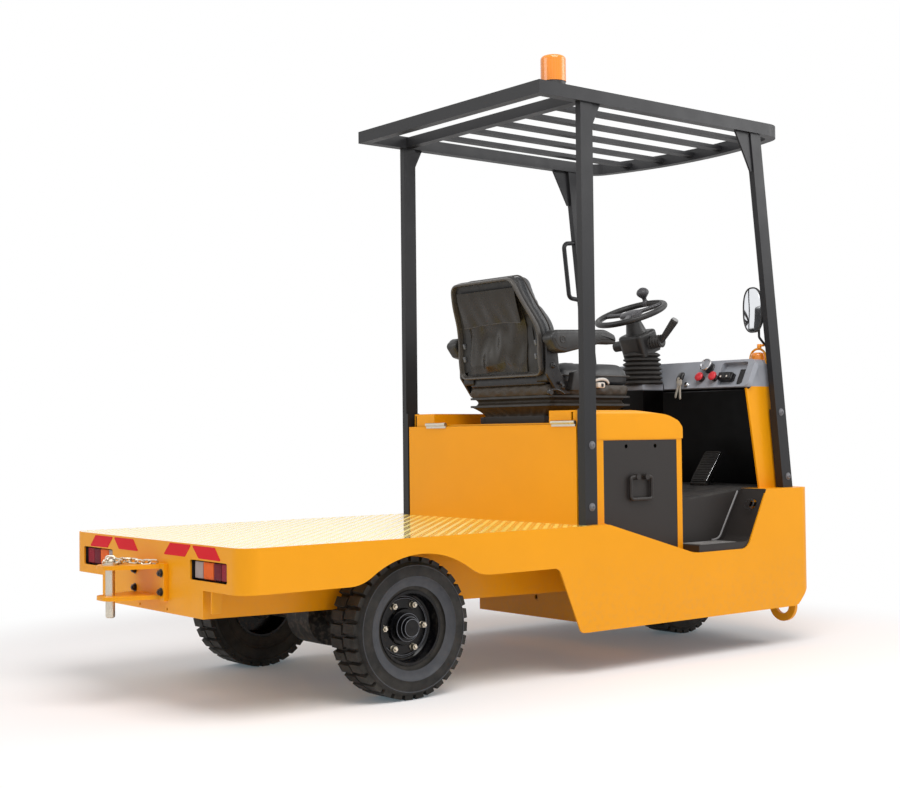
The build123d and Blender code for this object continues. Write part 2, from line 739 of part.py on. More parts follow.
def steering():
    stand = outline([(column_x - 48, floor_rear_z, 0), (column_x + 60, floor_rear_z, 0),
                     (column_x + 64, bellows_z0, 0),
                     (column_x - 60, bellows_z0, 10)])
    floor_cut = outline([(box_front_x, floor_rear_z - 60, 0), (nose_start_x, nose_z - 60, 0),
                         (nose_start_x, nose_z + mat, 0),
                         (box_front_x, floor_rear_z, 0)])
    save(side_plate(stand, -60, 60) - side_plate(floor_cut, -80, 80), "column_stand")
    tilt = math.radians(steer_tilt)
    axis = Plane((hand_wheel_x, 0, hand_wheel_z), x_dir=(math.cos(tilt), 0, math.sin(tilt)),
                 z_dir=(-math.sin(tilt), 0, math.cos(tilt)))
    housing = extrude(RectangleRounded(120, 136, 26), 94)
    housing = fillet(housing.edges().group_by(Axis.Z)[-1], 12)
    head = axis * Pos(0, 0, -180) * housing
    head += axis * Pos(0, 0, -90) * Cone(46, 30, 60 - turn_gap, align=on_base)
    for start, end, start_radius, end_radius in (
        # right switch lever, then the left stub
        ((1632, -50, 1240), (1640, -118, 1246), 24, 20),
        ((1640, -112, 1244), (1654, -180, 1330), 12, 16),
        ((1622, 50, 1240), (1612, 128, 1232), 24, 22),
    ):
        head += taper(start, end, start_radius, end_radius)
    save(head, "column_head")
    ribs = 7
    pitch = (bellows_z1 - bellows_z0) / ribs
    points = [(0, bellows_z0)]
    for rib in range(ribs):
        z = bellows_z0 + rib * pitch
        radius = bellows_radius - 10 * rib / (ribs - 1)
        points += [(radius - 12, z), (radius, z + pitch * 0.35), (radius, z + pitch * 0.6)]
    points += [(bellows_radius - 22, bellows_z1), (0, bellows_z1)]
    bellows = Pos(column_x, 0, 0) * revolve(Plane.XZ * make_face(Polyline(points, close=True)), Axis.Z)
    save(bellows - head, "column_bellows")
    wheel = Torus(hand_wheel_radius, hand_grip)
    wheel += Pos(0, 0, -30) * Cylinder(32, 35, align=on_base)
    for turn in (90, 210, 330):
        wheel += Rot(0, 0, turn) * Pos(hand_wheel_radius / 2, 0, -6) * Box(hand_wheel_radius - 4, 24, 8)
    knob = Pos(hand_wheel_radius, 0, 0) * Cylinder(7, 38, align=on_base)
    knob += Pos(hand_wheel_radius, 0, 50) * Sphere(22)
    save(axis * (wheel + Rot(0, 0, 15) * knob), "steering_wheel")


def seat():
    # Suspension box with two flange plates, the cushion's pan, then cushion, back and armrests.
    rear, front = seat_x0 + 20, seat_x0 + 340
    base = block(rear, front, -185, 185, seat_floor_z, seat_floor_z + 29)
    base += block(rear + 20, front - 15, -165, 165, seat_floor_z + 29, seat_plate_z)
    flange = outline([(seat_x0, -seat_half - 10, 30), (seat_x1 - 20, -seat_half - 10, 30),
                      (seat_x1 - 20, seat_half + 10, 30),
                      (seat_x0, seat_half + 10, 30)])
    for z in (seat_plate_z - 32, seat_plate_z):
        base += plan_plate(flange, z, z + 8)
    base += block(rear, seat_x1 - 40, 15 - seat_half, seat_half - 15, seat_plate_z + 8, cushion_z)
    save(base, "seat_base")
    low = cushion_z + soft_gap
    cushion = outline([(seat_x0 + 55, low, 10), (seat_x1, low, 20),
                       (seat_x1 + 8, cushion_z + cushion_depth, 30),
                       (seat_x0 + 60, cushion_z + cushion_depth - 10, 20)])
    save(side_plate(cushion, -seat_half, seat_half), "seat_cushion")
    lean = math.radians(back_lean)
    plane = Plane((back_foot[0], 0, back_foot[1]), x_dir=(0, 1, 0),
                  z_dir=(math.cos(lean), 0, math.sin(lean)))
    back = outline([(-back_low_half, 0, 30), (back_low_half, 0, 30), (back_low_half, back_bend, 200),
                    (back_top_half, back_height, 45), (-back_top_half, back_height, 45),
                    (-back_low_half, back_bend, 200)])
    pad = outline([(-back_low_half + 2, 15, 40), (back_low_half - 2, 15, 40),
                   (back_low_half - 2, back_bend, 200),
                   (back_top_half - 2, back_height + 5, 55), (2 - back_top_half, back_height + 5, 55),
                   (2 - back_low_half, back_bend, 200)])
    pad_form = extrude(plane.offset(back_shell + soft_gap) * pad, amount=back_pad)
    shell = extrude(plane * back, amount=back_shell)
    ear_x, ear_z = back_foot[0] + 10, back_foot[1] + 38
    ear = outline([(ear_x, ear_z, 8), (ear_x + 34, ear_z, 8), (ear_x + 26, ear_z + 90, 8),
                   (ear_x, ear_z + 90, 8)])
    for side, name in sides:
        shell += side_plate(ear, side * (back_low_half - 55), side * (seat_half + 10))
    save(shell - pad_form, "seat_back_shell")
    save(pad_form, "seat_back_pad")
    arm = outline([(arm_x, arm_z + 57, 14), (arm_x + 32, arm_z + 85, 22), (arm_x + 272, arm_z + 97, 40),
                   (arm_x + 360, arm_z + 75, 18), (arm_x + 356, arm_z + 43, 12),
                   (arm_x + 271, arm_z + 41, 30),
                   (arm_x + 196, arm_z + 23, 60), (arm_x + 77, arm_z, 24), (arm_x + 38, arm_z + 9, 14)])
    bracket = outline([(arm_x + 56, cushion_z - 20, 10), (arm_x + 130, cushion_z - 20, 10),
                       (arm_x + 110, arm_z + 50, 10),
                       (arm_x + 60, arm_z + 50, 10)])
    foot = outline([(arm_x + 56, cushion_z - 40, 0), (arm_x + 160, cushion_z - 40, 0),
                    (arm_x + 160, cushion_z - 5, 0),
                    (arm_x + 56, cushion_z - 5, 0)])
    arms = []
    for side, name in sides:
        inner, outer = side * (seat_half + 22), side * (seat_half + 22 + arm_width)
        shape = side_plate(arm, inner, outer) + side_plate(bracket, side * (seat_half + 10), inner)
        arms.append(shape + side_plate(foot, side * (seat_half - 15), inner))
    save(Compound(arms), "armrests")


def post_shape(side, base_x, top_x, base_z):
    # Tube from its foot to the canopy rail, thicker at the foot.
    half = post_length / 2
    lean = (top_x - base_x) / (canopy_z - base_z)
    face = outline([(base_x - half, base_z, 0), (base_x + half, base_z, 0), (top_x + half, canopy_z, 0),
                    (top_x - half, canopy_z, 0)])
    shape = side_plate(face, side * post_outer, side * (post_outer - post_width))
    shift = lean * (post_foot_z - base_z)
    foot = outline([(base_x - half, base_z, 0), (base_x + half, base_z, 0),
                    (base_x + half + shift, post_foot_z, 0),
                    (base_x - half + shift, post_foot_z, 0)])
    return shape + side_plate(foot, side * post_outer, side * (post_outer - post_foot_width))


def posts():
    rear_posts, front_posts = [], []
    for side, name in sides:
        rear = post_shape(side, rear_post_x, rear_post_x, deck_z)
        gusset = outline([(rear_post_x + 30, canopy_z, 0), (rear_post_x + 30, canopy_z - 90, 0),
                          (rear_post_x + 75, canopy_z, 0)])
        rear += side_plate(gusset, side * (post_outer - 6), side * (post_outer - 14))
        rear_posts.append(rear)
        front = post_shape(side, front_post_base_x, front_post_top_x, nose_z)
        gusset = outline([(front_post_top_x - 115, canopy_z, 0), (front_post_top_x - 20, canopy_z, 0),
                          (front_post_top_x - 14, canopy_z - 155, 0),
                          (front_post_top_x - 26, canopy_z - 155, 0)])
        front += side_plate(gusset, side * (post_outer - 6), side * (post_outer - 14))
        front_posts.append(front)
    save(Compound(rear_posts), "rear_posts")
    save(Compound(front_posts), "front_posts")
    lean = (front_post_base_x - front_post_top_x) / (canopy_z - nose_z)
    rear_face = [front_post_top_x - post_length / 2 + lean * (canopy_z - z) for z in (1738, 1476)]
    y = post_outer - post_width / 2
    route = FilletPolyline((rear_face[0] + 4, y, 1738), (rear_face[0] - 62, y, 1731),
                           (rear_face[1] - 62, y, 1483),
                           (rear_face[1] + 4, y, 1476), radius=24)
    bar = sweep(Plane(route @ 0, z_dir=route % 0) * Circle(10), route)
    face = outline([(front_post_base_x, nose_z, 0), (front_post_base_x + 300, nose_z, 0),
                    (front_post_top_x + 300, canopy_z, 0),
                    (front_post_top_x, canopy_z, 0)])
    half = post_length / 2
    bar -= Pos(-half, 0, 0) * side_plate(face, 300, 700)
    save(bar, "grab_handle")


def canopy():
    outer = bow_outline(canopy_rear_x, canopy_half, canopy_front_x, canopy_bow, canopy_corner)
    inner = bow_outline(canopy_rear_x + canopy_rail, canopy_half - canopy_rail, canopy_front_x - canopy_rail,
                        canopy_bow - canopy_rail, canopy_corner - canopy_rail)
    frame = plan_plate(outer - inner, canopy_z, canopy_z + canopy_depth)
    inner_y = canopy_half - canopy_rail
    cross_x = rear_post_x - 20
    frame += block(cross_x, cross_x + canopy_rail, -inner_y, inner_y, canopy_z + 4,
                   canopy_z + canopy_depth - 4)
    save(frame, "canopy_frame")
    slats = []
    z0 = canopy_z + (canopy_depth - slat_depth) / 2
    pitch = 2 * inner_y / (slat_count + 1)
    for number in range(slat_count):
        y = -inner_y + pitch * (number + 1)
        bar = block(cross_x + canopy_rail, canopy_front_x, y - slat_width / 2, y + slat_width / 2, z0,
                    z0 + slat_depth)
        slats.append(bar & plan_plate(inner, z0 - 1, z0 + slat_depth + 1))
    save(Compound(slats), "canopy_slats")
    top = canopy_z + canopy_depth
    x, y = canopy_rear_x + 114, 50 - canopy_half
    save(Pos(x, y, top) * Cylinder(beacon_radius - 2, beacon_base, align=on_base), "beacon_base")
    dome = Cylinder(beacon_radius, beacon_height, align=on_base)
    dome = fillet(dome.edges().group_by(Axis.Z)[-1], 14)
    save(Pos(x, y, top + beacon_base) * dome, "beacon_lens")


def coupling():
    x1 = deck_rear_x
    plate_x = x1 - 14
    z0, z1 = tow_lower_z, tow_upper_z + tow_jaw + 4
    shape = block(plate_x, x1, -tow_plate_half, tow_plate_half, z0 - 4, z1)
    jaw = outline([(plate_x + 1, -95, 0), (plate_x + 1, 95, 0), (tow_reach_x, 42, 34),
                   (tow_reach_x, -42, 34)])
    hole = Pos(tow_pin_x, 0) * Circle(tow_pin_radius + turn_gap)
    for z in (tow_lower_z, tow_upper_z):
        shape += plan_plate(jaw - hole, z, z + tow_jaw)
    save(shape, "tow_coupling")
    pin = Pos(tow_pin_x, 0, pin_low_z) * Cylinder(tow_pin_radius, tow_upper_z + tow_jaw - pin_low_z,
                                                  align=on_base)
    pin = chamfer(pin.edges().group_by(Axis.Z)[0], 4)
    pin += Pos(tow_pin_x, 0, tow_upper_z + tow_jaw) * Cylinder(24, 10, align=on_base)
    save(pin, "tow_pin")


def mirror(dash):
    # Oval mirror on a bent rod that stands on the dash beside the right front post.
    x, y, z = dash_edge_x + 51, 35 - cowl_half, dash_top_z + mirror_rise
    arm_x, arm_y = x + 14, y - 14
    foot_x, foot_y = x + 58, y - 18
    route = FilletPolyline((foot_x, foot_y, dash_top_z - 20), (foot_x, foot_y, dash_top_z + 50),
                           (arm_x, arm_y, dash_top_z + 90),
                           (arm_x, arm_y, z + 30), radius=14)
    arm = sweep(Plane(route @ 0, z_dir=route % 0) * Circle(5), route) - dash
    save(arm + cross_plate(Pos(y, z) * Ellipse(mirror_half_width, mirror_half_height), x - 8, x + 9.5),
         "mirror")


def lamps(dash):
    # Amber lamp under a hoop on the right corner of the dash.
    x, y = dash_edge_x + 86, 45 - cowl_half
    lens = Pos(x, y, dash_top_z - 6) * Cylinder(30, 35, align=on_base)
    save(fillet(lens.edges().group_by(Axis.Z)[-1], 15) - dash, "indicator_lamp")
    low, high, half = dash_top_z - 20, dash_top_z + 44, 41
    hoop = FilletPolyline((x, y - half, low), (x, y - half, high), (x, y + half, high), (x, y + half, low),
                          radius=half - 1)
    save(sweep(Plane(hoop @ 0, z_dir=hoop % 0) * Circle(4.5), hoop) - dash, "lamp_hoop")


def headlamps():
    # A round lamp standing out of the cowl's front on each side.
    cowl_solid = cowl_form(0, nose_z, cowl_top_z, cowl_rear_top_x)
    y, z = cowl_half - 170, cowl_top_z - 150
    wall_x = cowl_front_x - cowl_lean * (z - nose_z) - y ** 2 / (2 * nose_bow)
    pod = Cylinder(headlamp_radius, 110, align=on_base)
    pod = fillet(pod.edges().group_by(Axis.Z)[-1], 12)
    pair = [Pos(wall_x - 85, side * y, z) * Rot(0, 90, 0) * pod - cowl_solid for side, name in sides]
    save(Compound(pair), "headlamps")


rear_wheels()
rear_axle()
front_axle_group()
front_subframe()
deck()
rear_apron()
skirts()
ledges()
nose()
seat_box(main_frame())
battery()
hood()
floor()
step_wells()
pedals()
dash = console()
cowl(dash)
steering()
seat()
posts()
canopy()
coupling()
mirror(dash)
lamps(dash)
headlamps()
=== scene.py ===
import bmesh
import bpy
import json
import math
import numpy as np
from mathutils import Matrix, Vector


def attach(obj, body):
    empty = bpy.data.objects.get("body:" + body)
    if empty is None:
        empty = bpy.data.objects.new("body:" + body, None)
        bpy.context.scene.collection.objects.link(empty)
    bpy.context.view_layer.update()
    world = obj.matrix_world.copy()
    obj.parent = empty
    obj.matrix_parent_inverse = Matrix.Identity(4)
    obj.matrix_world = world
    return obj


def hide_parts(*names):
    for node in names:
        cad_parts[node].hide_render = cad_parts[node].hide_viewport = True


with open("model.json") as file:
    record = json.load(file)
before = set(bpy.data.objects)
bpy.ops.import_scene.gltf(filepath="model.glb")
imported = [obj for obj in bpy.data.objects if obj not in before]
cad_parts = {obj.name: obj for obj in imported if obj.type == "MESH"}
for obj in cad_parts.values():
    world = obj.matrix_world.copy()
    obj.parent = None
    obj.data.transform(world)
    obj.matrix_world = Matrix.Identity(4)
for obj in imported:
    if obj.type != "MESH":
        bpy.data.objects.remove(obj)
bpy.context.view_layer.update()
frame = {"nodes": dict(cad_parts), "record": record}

axleToOrigin = 0.6325  # metres: the row's origin lies this far ahead of the rear axle


# camera

camera = {
    "spot": (-3.4868, -4.3024, 0.8640),
    "yaw": 51.33,
    "pitch": 1.58,
    "roll": -0.60,
    "focal": 1446.15,  # pixels
    "imageWidth": 900,
    "sensorWidth": 36,
}


def placeCamera(c):
    # Looks along (cos yaw cos pitch, sin yaw cos pitch, sin pitch), then rolls about that line.
    yaw, pitch, roll = (math.radians(c[k]) for k in ("yaw", "pitch", "roll"))
    ahead = Vector((math.cos(yaw) * math.cos(pitch), math.sin(yaw) * math.cos(pitch), math.sin(pitch)))
    right = Vector((math.sin(yaw), -math.cos(yaw), 0))
    up = right.cross(ahead)
    rolledRight = right * math.cos(roll) + up * math.sin(roll)
    rolledUp = up * math.cos(roll) - right * math.sin(roll)
    turn = Matrix((rolledRight, rolledUp, -ahead)).transposed().to_4x4()
    lens = bpy.data.cameras.new("photoCamera")
    lens.sensor_width = c["sensorWidth"]
    lens.lens = c["focal"] / c["imageWidth"] * c["sensorWidth"]
    lens.clip_end = 100
    holder = bpy.data.objects.new("photoCamera", lens)
    holder.matrix_world = Matrix.Translation(Vector(c["spot"])) @ turn
    bpy.context.scene.collection.objects.link(holder)
    bpy.context.scene.camera = holder


placeCamera(camera)
print("camera placed")


# shader helpers


def linear(red, green, blue):
    # A screen colour from 0 to 255 as the linear value that a shader takes.
    shares = np.array([red, green, blue]) / 255
    values = np.where(shares <= 0.04045, shares / 12.92, ((shares + 0.055) / 1.055) ** 2.4)
    return tuple(float(v) for v in values) + (1.0,)


def feed(tree, socket, value):
    # A number or a colour becomes the socket's own value, and another node's output is linked to it.
    if isinstance(value, (int, float, tuple)):
        socket.default_value = value
    else:
        tree.links.new(value, socket)


def addNoise(tree, vector, scale, detail=3.0, rough=0.55):
    # Fractal noise with that many features to the metre.
    noise = tree.nodes.new("ShaderNodeTexNoise")
    for label, value in (("Scale", scale), ("Detail", detail), ("Roughness", rough), ("Vector", vector)):
        feed(tree, noise.inputs[label], value)
    return noise.outputs["Fac"]


def addMath(tree, kind, first, second, clamp=False):
    # The sum, product or larger of two values, held between 0 and 1 where it is clamped.
    node = tree.nodes.new("ShaderNodeMath")
    node.operation = kind
    node.use_clamp = clamp
    feed(tree, node.inputs[0], first)
    feed(tree, node.inputs[1], second)
    return node.outputs[0]


def addRange(tree, value, low, high, newLow, newHigh, smooth=False):
    # From low to high the value becomes newLow to newHigh, straight or as a smooth step, and is held beyond.
    node = tree.nodes.new("ShaderNodeMapRange")
    node.clamp = True
    node.interpolation_type = "SMOOTHSTEP" if smooth else "LINEAR"
    labels = ("Value", "From Min", "From Max", "To Min", "To Max")
    for label, number in zip(labels, (value, low, high, newLow, newHigh)):
        feed(tree, node.inputs[label], number)
    return node.outputs["Result"]


def addMix(tree, share, first, second):
    # The colour first (1 - share) + second share.
    node = tree.nodes.new("ShaderNodeMix")
    node.data_type = "RGBA"
    for number, value in ((0, share), (6, first), (7, second)):
        feed(tree, node.inputs[number], value)
    return node.outputs[2]


def addFade(tree, share, first, second):
    # The shader first (1 - share) + second share.
    node = tree.nodes.new("ShaderNodeMixShader")
    for number, value in enumerate((share, first, second)):
        tree.links.new(value, node.inputs[number])
    return node.outputs[0]


# floor, backdrop and lights

studio = {
    "floorReach": 14.0,  # metres each way
    "floorShade": (0.92, 0.87, 0.85),
    "floorRoughness": 0.9,
    "floorSpecular": 0.1,
    "floorTint": (0.62, 0.86, 1.0),  # a faint cool glow that evens out the orange light from the body
    "floorGlow": 0.1,
    "whiteFrom": 1.75,  # metres from the middle, where the floor starts to fade into the white backdrop
    "whiteAt": 2.6,
    "worldStrength": 0.5,
    "lamps": [  # place, aims at, size, power
        ((-1.0, -2.6, 4.6), (0.2, 0, 0.8), 3.4, 150),
        ((-4.6, 1.8, 3.4), (0, 0, 0.6), 2.6, 52),
        ((3.4, -2.4, 3.0), (0.6, 0, 0.7), 2.4, 45),
    ],
}


def paperMaterial(s):
    # Matt paper that the camera sees fade into plain white as a smooth step of the distance from the middle.
    paper = bpy.data.materials.new("studioPaper")
    paper.use_nodes = True
    tree = paper.node_tree
    shader = tree.nodes["Principled BSDF"]
    shader.inputs["Base Color"].default_value = s["floorShade"] + (1,)
    shader.inputs["Roughness"].default_value = s["floorRoughness"]
    shader.inputs["Specular IOR Level"].default_value = s["floorSpecular"]
    shader.inputs["Emission Color"].default_value = s["floorTint"] + (1,)
    shader.inputs["Emission Strength"].default_value = s["floorGlow"]
    place = tree.nodes.new("ShaderNodeTexCoord")
    distance = tree.nodes.new("ShaderNodeVectorMath")
    distance.operation = "LENGTH"
    tree.links.new(place.outputs["Object"], distance.inputs[0])
    far = addRange(tree, distance.outputs["Value"], s["whiteFrom"], s["whiteAt"], 0, 1, True)
    path = tree.nodes.new("ShaderNodeLightPath")
    shown = addMath(tree, "MULTIPLY", far, path.outputs["Is Camera Ray"])
    white = tree.nodes.new("ShaderNodeEmission")
    faded = addFade(tree, shown, shader.outputs[0], white.outputs[0])
    tree.links.new(faded, tree.nodes["Material Output"].inputs["Surface"])
    return paper


def layFloor(s):
    # One square of paper on the ground.
    reach = s["floorReach"]
    floorMesh = bpy.data.meshes.new("studioFloor")
    corners = [(-reach, -reach, 0), (reach, -reach, 0), (reach, reach, 0), (-reach, reach, 0)]
    floorMesh.from_pydata(corners, [], [(0, 1, 2, 3)])
    floorMesh.materials.append(paperMaterial(s))
    floorPiece = bpy.data.objects.new("studioFloor", floorMesh)
    bpy.context.scene.collection.objects.link(floorPiece)


def lightWorld(s):
    # Full white to the camera, through glass and in gloss, and a softer white as light on the object.
    world = bpy.data.worlds.new("studioWorld")
    world.use_nodes = True
    tree = world.node_tree
    tree.nodes.clear()
    shades = []
    for strength in (s["worldStrength"], 1.0):
        shade = tree.nodes.new("ShaderNodeBackground")
        shade.inputs["Color"].default_value = (1, 1, 1, 1)
        shade.inputs["Strength"].default_value = strength
        shades.append(shade.outputs[0])
    path = tree.nodes.new("ShaderNodeLightPath")
    seen = addMath(tree, "MAXIMUM", path.outputs["Is Camera Ray"], path.outputs["Is Transmission Ray"])
    seen = addMath(tree, "MAXIMUM", seen, path.outputs["Is Glossy Ray"])
    out = tree.nodes.new("ShaderNodeOutputWorld")
    tree.links.new(addFade(tree, seen, *shades), out.inputs["Surface"])
    bpy.context.scene.world = world


def hangLamps(s):
    # Round softboxes, each turned from its place towards its aim.
    for number, (spot, aim, size, power) in enumerate(s["lamps"]):
        data = bpy.data.lights.new("softbox%d" % number, "AREA")
        data.shape = "DISK"
        data.size = size
        data.energy = power
        lamp = bpy.data.objects.new("softbox%d" % number, data)
        lamp.location = spot
        lamp.rotation_euler = (Vector(aim) - Vector(spot)).to_track_quat("-Z", "Y").to_euler()
        bpy.context.scene.collection.objects.link(lamp)


layFloor(studio)
lightWorld(studio)
hangLamps(studio)
bpy.context.scene.view_settings.view_transform = "Standard"
print("studio built")


# shader groups


def newGroup(name, inputs):
    # Inputs come as (name, kind, starting value); every group puts out a colour, a roughness and a height.
    group = bpy.data.node_groups.new(name, "ShaderNodeTree")
    for label, kind, value in [("Place", "Vector", None)] + inputs:
        socket = group.interface.new_socket(label, in_out="INPUT", socket_type="NodeSocket" + kind)
        if value is not None:
            socket.default_value = value
    for label, kind in (("Color", "Color"), ("Roughness", "Float"), ("Height", "Float")):
        group.interface.new_socket(label, in_out="OUTPUT", socket_type="NodeSocket" + kind)
    return group, group.nodes.new("NodeGroupInput"), group.nodes.new("NodeGroupOutput")


def heightAbove(group, place):
    # The height over the ground in metres.
    split = group.nodes.new("ShaderNodeSeparateXYZ")
    group.links.new(place, split.inputs[0])
    return split.outputs["Z"]


def paintGroup():
    # Sprayed paint: faint mottling, orange peel, and a little floor dust low down.
    group, start, end = newGroup(
        "sprayedPaint",
        [("Paint", "Color", (0.8, 0.8, 0.8, 1)), ("Shine", "Float", 0.3), ("Dust", "Float", 0.3)],
    )
    place = start.outputs["Place"]
    blotch = addRange(group, addNoise(group, place, 2.5, 4), 0.35, 0.7, 0, 0.06)
    darker = addMix(group, blotch, start.outputs["Paint"], (0, 0, 0, 1))
    low = addRange(group, heightAbove(group, place), 0.15, 0.45, 1, 0)
    speck = addRange(group, addNoise(group, place, 55, 6), 0.48, 0.72, 0, 1)
    dust = addMath(group, "MULTIPLY", addMath(group, "MULTIPLY", low, speck), start.outputs["Dust"], True)
    group.links.new(addMix(group, dust, darker, linear(150, 140, 125)), end.inputs["Color"])
    uneven = addRange(group, addNoise(group, place, 9, 4), 0.3, 0.7, -0.04, 0.06)
    shine = addMath(group, "ADD", start.outputs["Shine"], uneven)
    rough = addMath(group, "ADD", shine, addMath(group, "MULTIPLY", dust, 0.4), True)
    group.links.new(rough, end.inputs["Roughness"])
    group.links.new(addNoise(group, place, 420, 2), end.inputs["Height"])
    return group


def grainGroup():
    # Moulded or embossed grain: small rounded cells with fine noise over them.
    group, start, end = newGroup(
        "embossedGrain",
        [("Tint", "Color", (0.05, 0.05, 0.05, 1)), ("Cells", "Float", 700.0), ("Shine", "Float", 0.5),
         ("Dust", "Float", 0.15)],
    )
    place = start.outputs["Place"]
    cells = group.nodes.new("ShaderNodeTexVoronoi")
    cells.feature = "SMOOTH_F1"
    group.links.new(place, cells.inputs["Vector"])
    group.links.new(start.outputs["Cells"], cells.inputs["Scale"])
    fine = addNoise(group, place, 900, 2)
    height = addMath(group, "SUBTRACT", addMath(group, "MULTIPLY", fine, 0.3), cells.outputs["Distance"])
    group.links.new(height, end.inputs["Height"])
    blotch = addRange(group, addNoise(group, place, 14, 5), 0.45, 0.75, 0, start.outputs["Dust"])
    group.links.new(addMix(group, blotch, start.outputs["Tint"], linear(120, 116, 110)), end.inputs["Color"])
    wave = addRange(group, addNoise(group, place, 22, 3), 0.3, 0.7, -0.06, 0.08)
    group.links.new(addMath(group, "ADD", start.outputs["Shine"], wave, True), end.inputs["Roughness"])
    return group


def dashGroup():
    # Moulded dash, painted as a lit and a shaded copy of one moulding: a pale tint above the cowl as painted
    # sheen, and on the liner below it the moulding's own dark deepened to near black as painted shade, with
    # fine grain.
    group, start, end = newGroup(
        "mouldedDashLitAndShaded",
        [("Tint", "Color", (0.2, 0.2, 0.2, 1)), ("ShadedLiner", "Color", (0.005, 0.005, 0.005, 1)),
         ("Shine", "Float", 0.3)],
    )
    place = start.outputs["Place"]
    # Above the cowl's height the pale tint is painted sheen; below it the near-black liner is painted shade.
    high = addRange(group, heightAbove(group, place), 1.038, 1.044, 0, 1)
    cloud = addRange(group, addNoise(group, place, 12, 4), 0.3, 0.7, 0, 0.12)
    cloudy = addMix(group, cloud, start.outputs["Tint"], (0, 0, 0, 1))
    group.links.new(addMix(group, high, start.outputs["ShadedLiner"], cloudy), end.inputs["Color"])
    uneven = addRange(group, addNoise(group, place, 22, 3), 0.3, 0.7, -0.04, 0.06)
    group.links.new(addMath(group, "ADD", start.outputs["Shine"], uneven, True), end.inputs["Roughness"])
    group.links.new(addNoise(group, place, 850, 2), end.inputs["Height"])
    return group


def metalGroup():
    # Plated or brushed metal: streaks along X and dull patches.
    group, start, end = newGroup(
        "platedMetal",
        [("Tint", "Color", (0.7, 0.7, 0.7, 1)), ("Shine", "Float", 0.3), ("Patches", "Float", 0.5)],
    )
    stretch = group.nodes.new("ShaderNodeMapping")
    stretch.inputs["Scale"].default_value = (12, 300, 300)
    group.links.new(start.outputs["Place"], stretch.inputs["Vector"])
    streaks = addNoise(group, stretch.outputs[0], 1.0, 4)
    patch = addNoise(group, start.outputs["Place"], 30, 5)
    dull = addRange(group, patch, 0.45, 0.75, 0, start.outputs["Patches"])
    group.links.new(addMix(group, dull, start.outputs["Tint"], linear(110, 104, 96)), end.inputs["Color"])
    uneven = addMath(group, "MULTIPLY", addRange(group, patch, 0.3, 0.7, -0.1, 0.4), start.outputs["Patches"])
    rough = addMath(group, "ADD", start.outputs["Shine"], uneven, True)
    group.links.new(rough, end.inputs["Roughness"])
    group.links.new(streaks, end.inputs["Height"])
    return group


def rubberGroup():
    # Tyre rubber: grey bloom and dust in soft patches, fine mould texture.
    group, start, end = newGroup(
        "wornRubber",
        [("Tint", "Color", (0.03, 0.03, 0.03, 1)), ("Bloom", "Float", 0.35)],
    )
    place = start.outputs["Place"]
    soft = addRange(group, addNoise(group, place, 11, 6, 0.65), 0.4, 0.72, 0, start.outputs["Bloom"])
    group.links.new(addMix(group, soft, start.outputs["Tint"], linear(112, 106, 98)), end.inputs["Color"])
    uneven = addNoise(group, place, 30, 4)
    group.links.new(addRange(group, uneven, 0.3, 0.7, 0.55, 0.8), end.inputs["Roughness"])
    group.links.new(addNoise(group, place, 380, 4), end.inputs["Height"])
    return group


def lensGroup():
    # Moulded lens: tint with a fine prism grid, each cell a little whiter towards its edges as painted glints.
    group, start, end = newGroup(
        "mouldedLens",
        [("Tint", "Color", (0.6, 0.02, 0.02, 1)), ("Pitch", "Float", 160.0)],
    )
    checks = group.nodes.new("ShaderNodeTexVoronoi")
    checks.distance = "CHEBYCHEV"
    checks.inputs["Randomness"].default_value = 0
    group.links.new(start.outputs["Place"], checks.inputs["Vector"])
    group.links.new(start.outputs["Pitch"], checks.inputs["Scale"])
    # Whiter towards the cells' edges: painted glints on the prism facets.
    edge = addRange(group, checks.outputs["Distance"], 0.2, 0.6, 0, 0.03)
    group.links.new(addMix(group, edge, start.outputs["Tint"], (1, 1, 1, 1)), end.inputs["Color"])
    uneven = addNoise(group, start.outputs["Place"], 20, 3)
    group.links.new(addRange(group, uneven, 0.3, 0.7, 0.08, 0.2), end.inputs["Roughness"])
    group.links.new(checks.outputs["Distance"], end.inputs["Height"])
    return group


groups = {
    "paint": paintGroup(),
    "grain": grainGroup(),
    "metal": metalGroup(),
    "rubber": rubberGroup(),
    "lens": lensGroup(),
    "dash": dashGroup(),
}


def makeMaterial(name, group, values, bump, bumpSize, fixed=None):
    # Places a group with its own values and joins its outputs to the shader. Colours come as 0 to 255.
    material = bpy.data.materials.new(name)
    material.use_nodes = True
    tree = material.node_tree
    shader = tree.nodes["Principled BSDF"]
    place = tree.nodes.new("ShaderNodeTexCoord")
    box = tree.nodes.new("ShaderNodeGroup")
    box.node_tree = groups[group]
    tree.links.new(place.outputs["Object"], box.inputs["Place"])
    for label, value in values.items():
        box.inputs[label].default_value = linear(*value) if isinstance(value, tuple) else value
    tree.links.new(box.outputs["Color"], shader.inputs["Base Color"])
    tree.links.new(box.outputs["Roughness"], shader.inputs["Roughness"])
    if bump:
        dent = tree.nodes.new("ShaderNodeBump")
        dent.inputs["Strength"].default_value = bump
        dent.inputs["Distance"].default_value = bumpSize
        tree.links.new(box.outputs["Height"], dent.inputs["Height"])
        tree.links.new(dent.outputs["Normal"], shader.inputs["Normal"])
    for label, value in (fixed or {}).items():
        shader.inputs[label].default_value = value
    return material


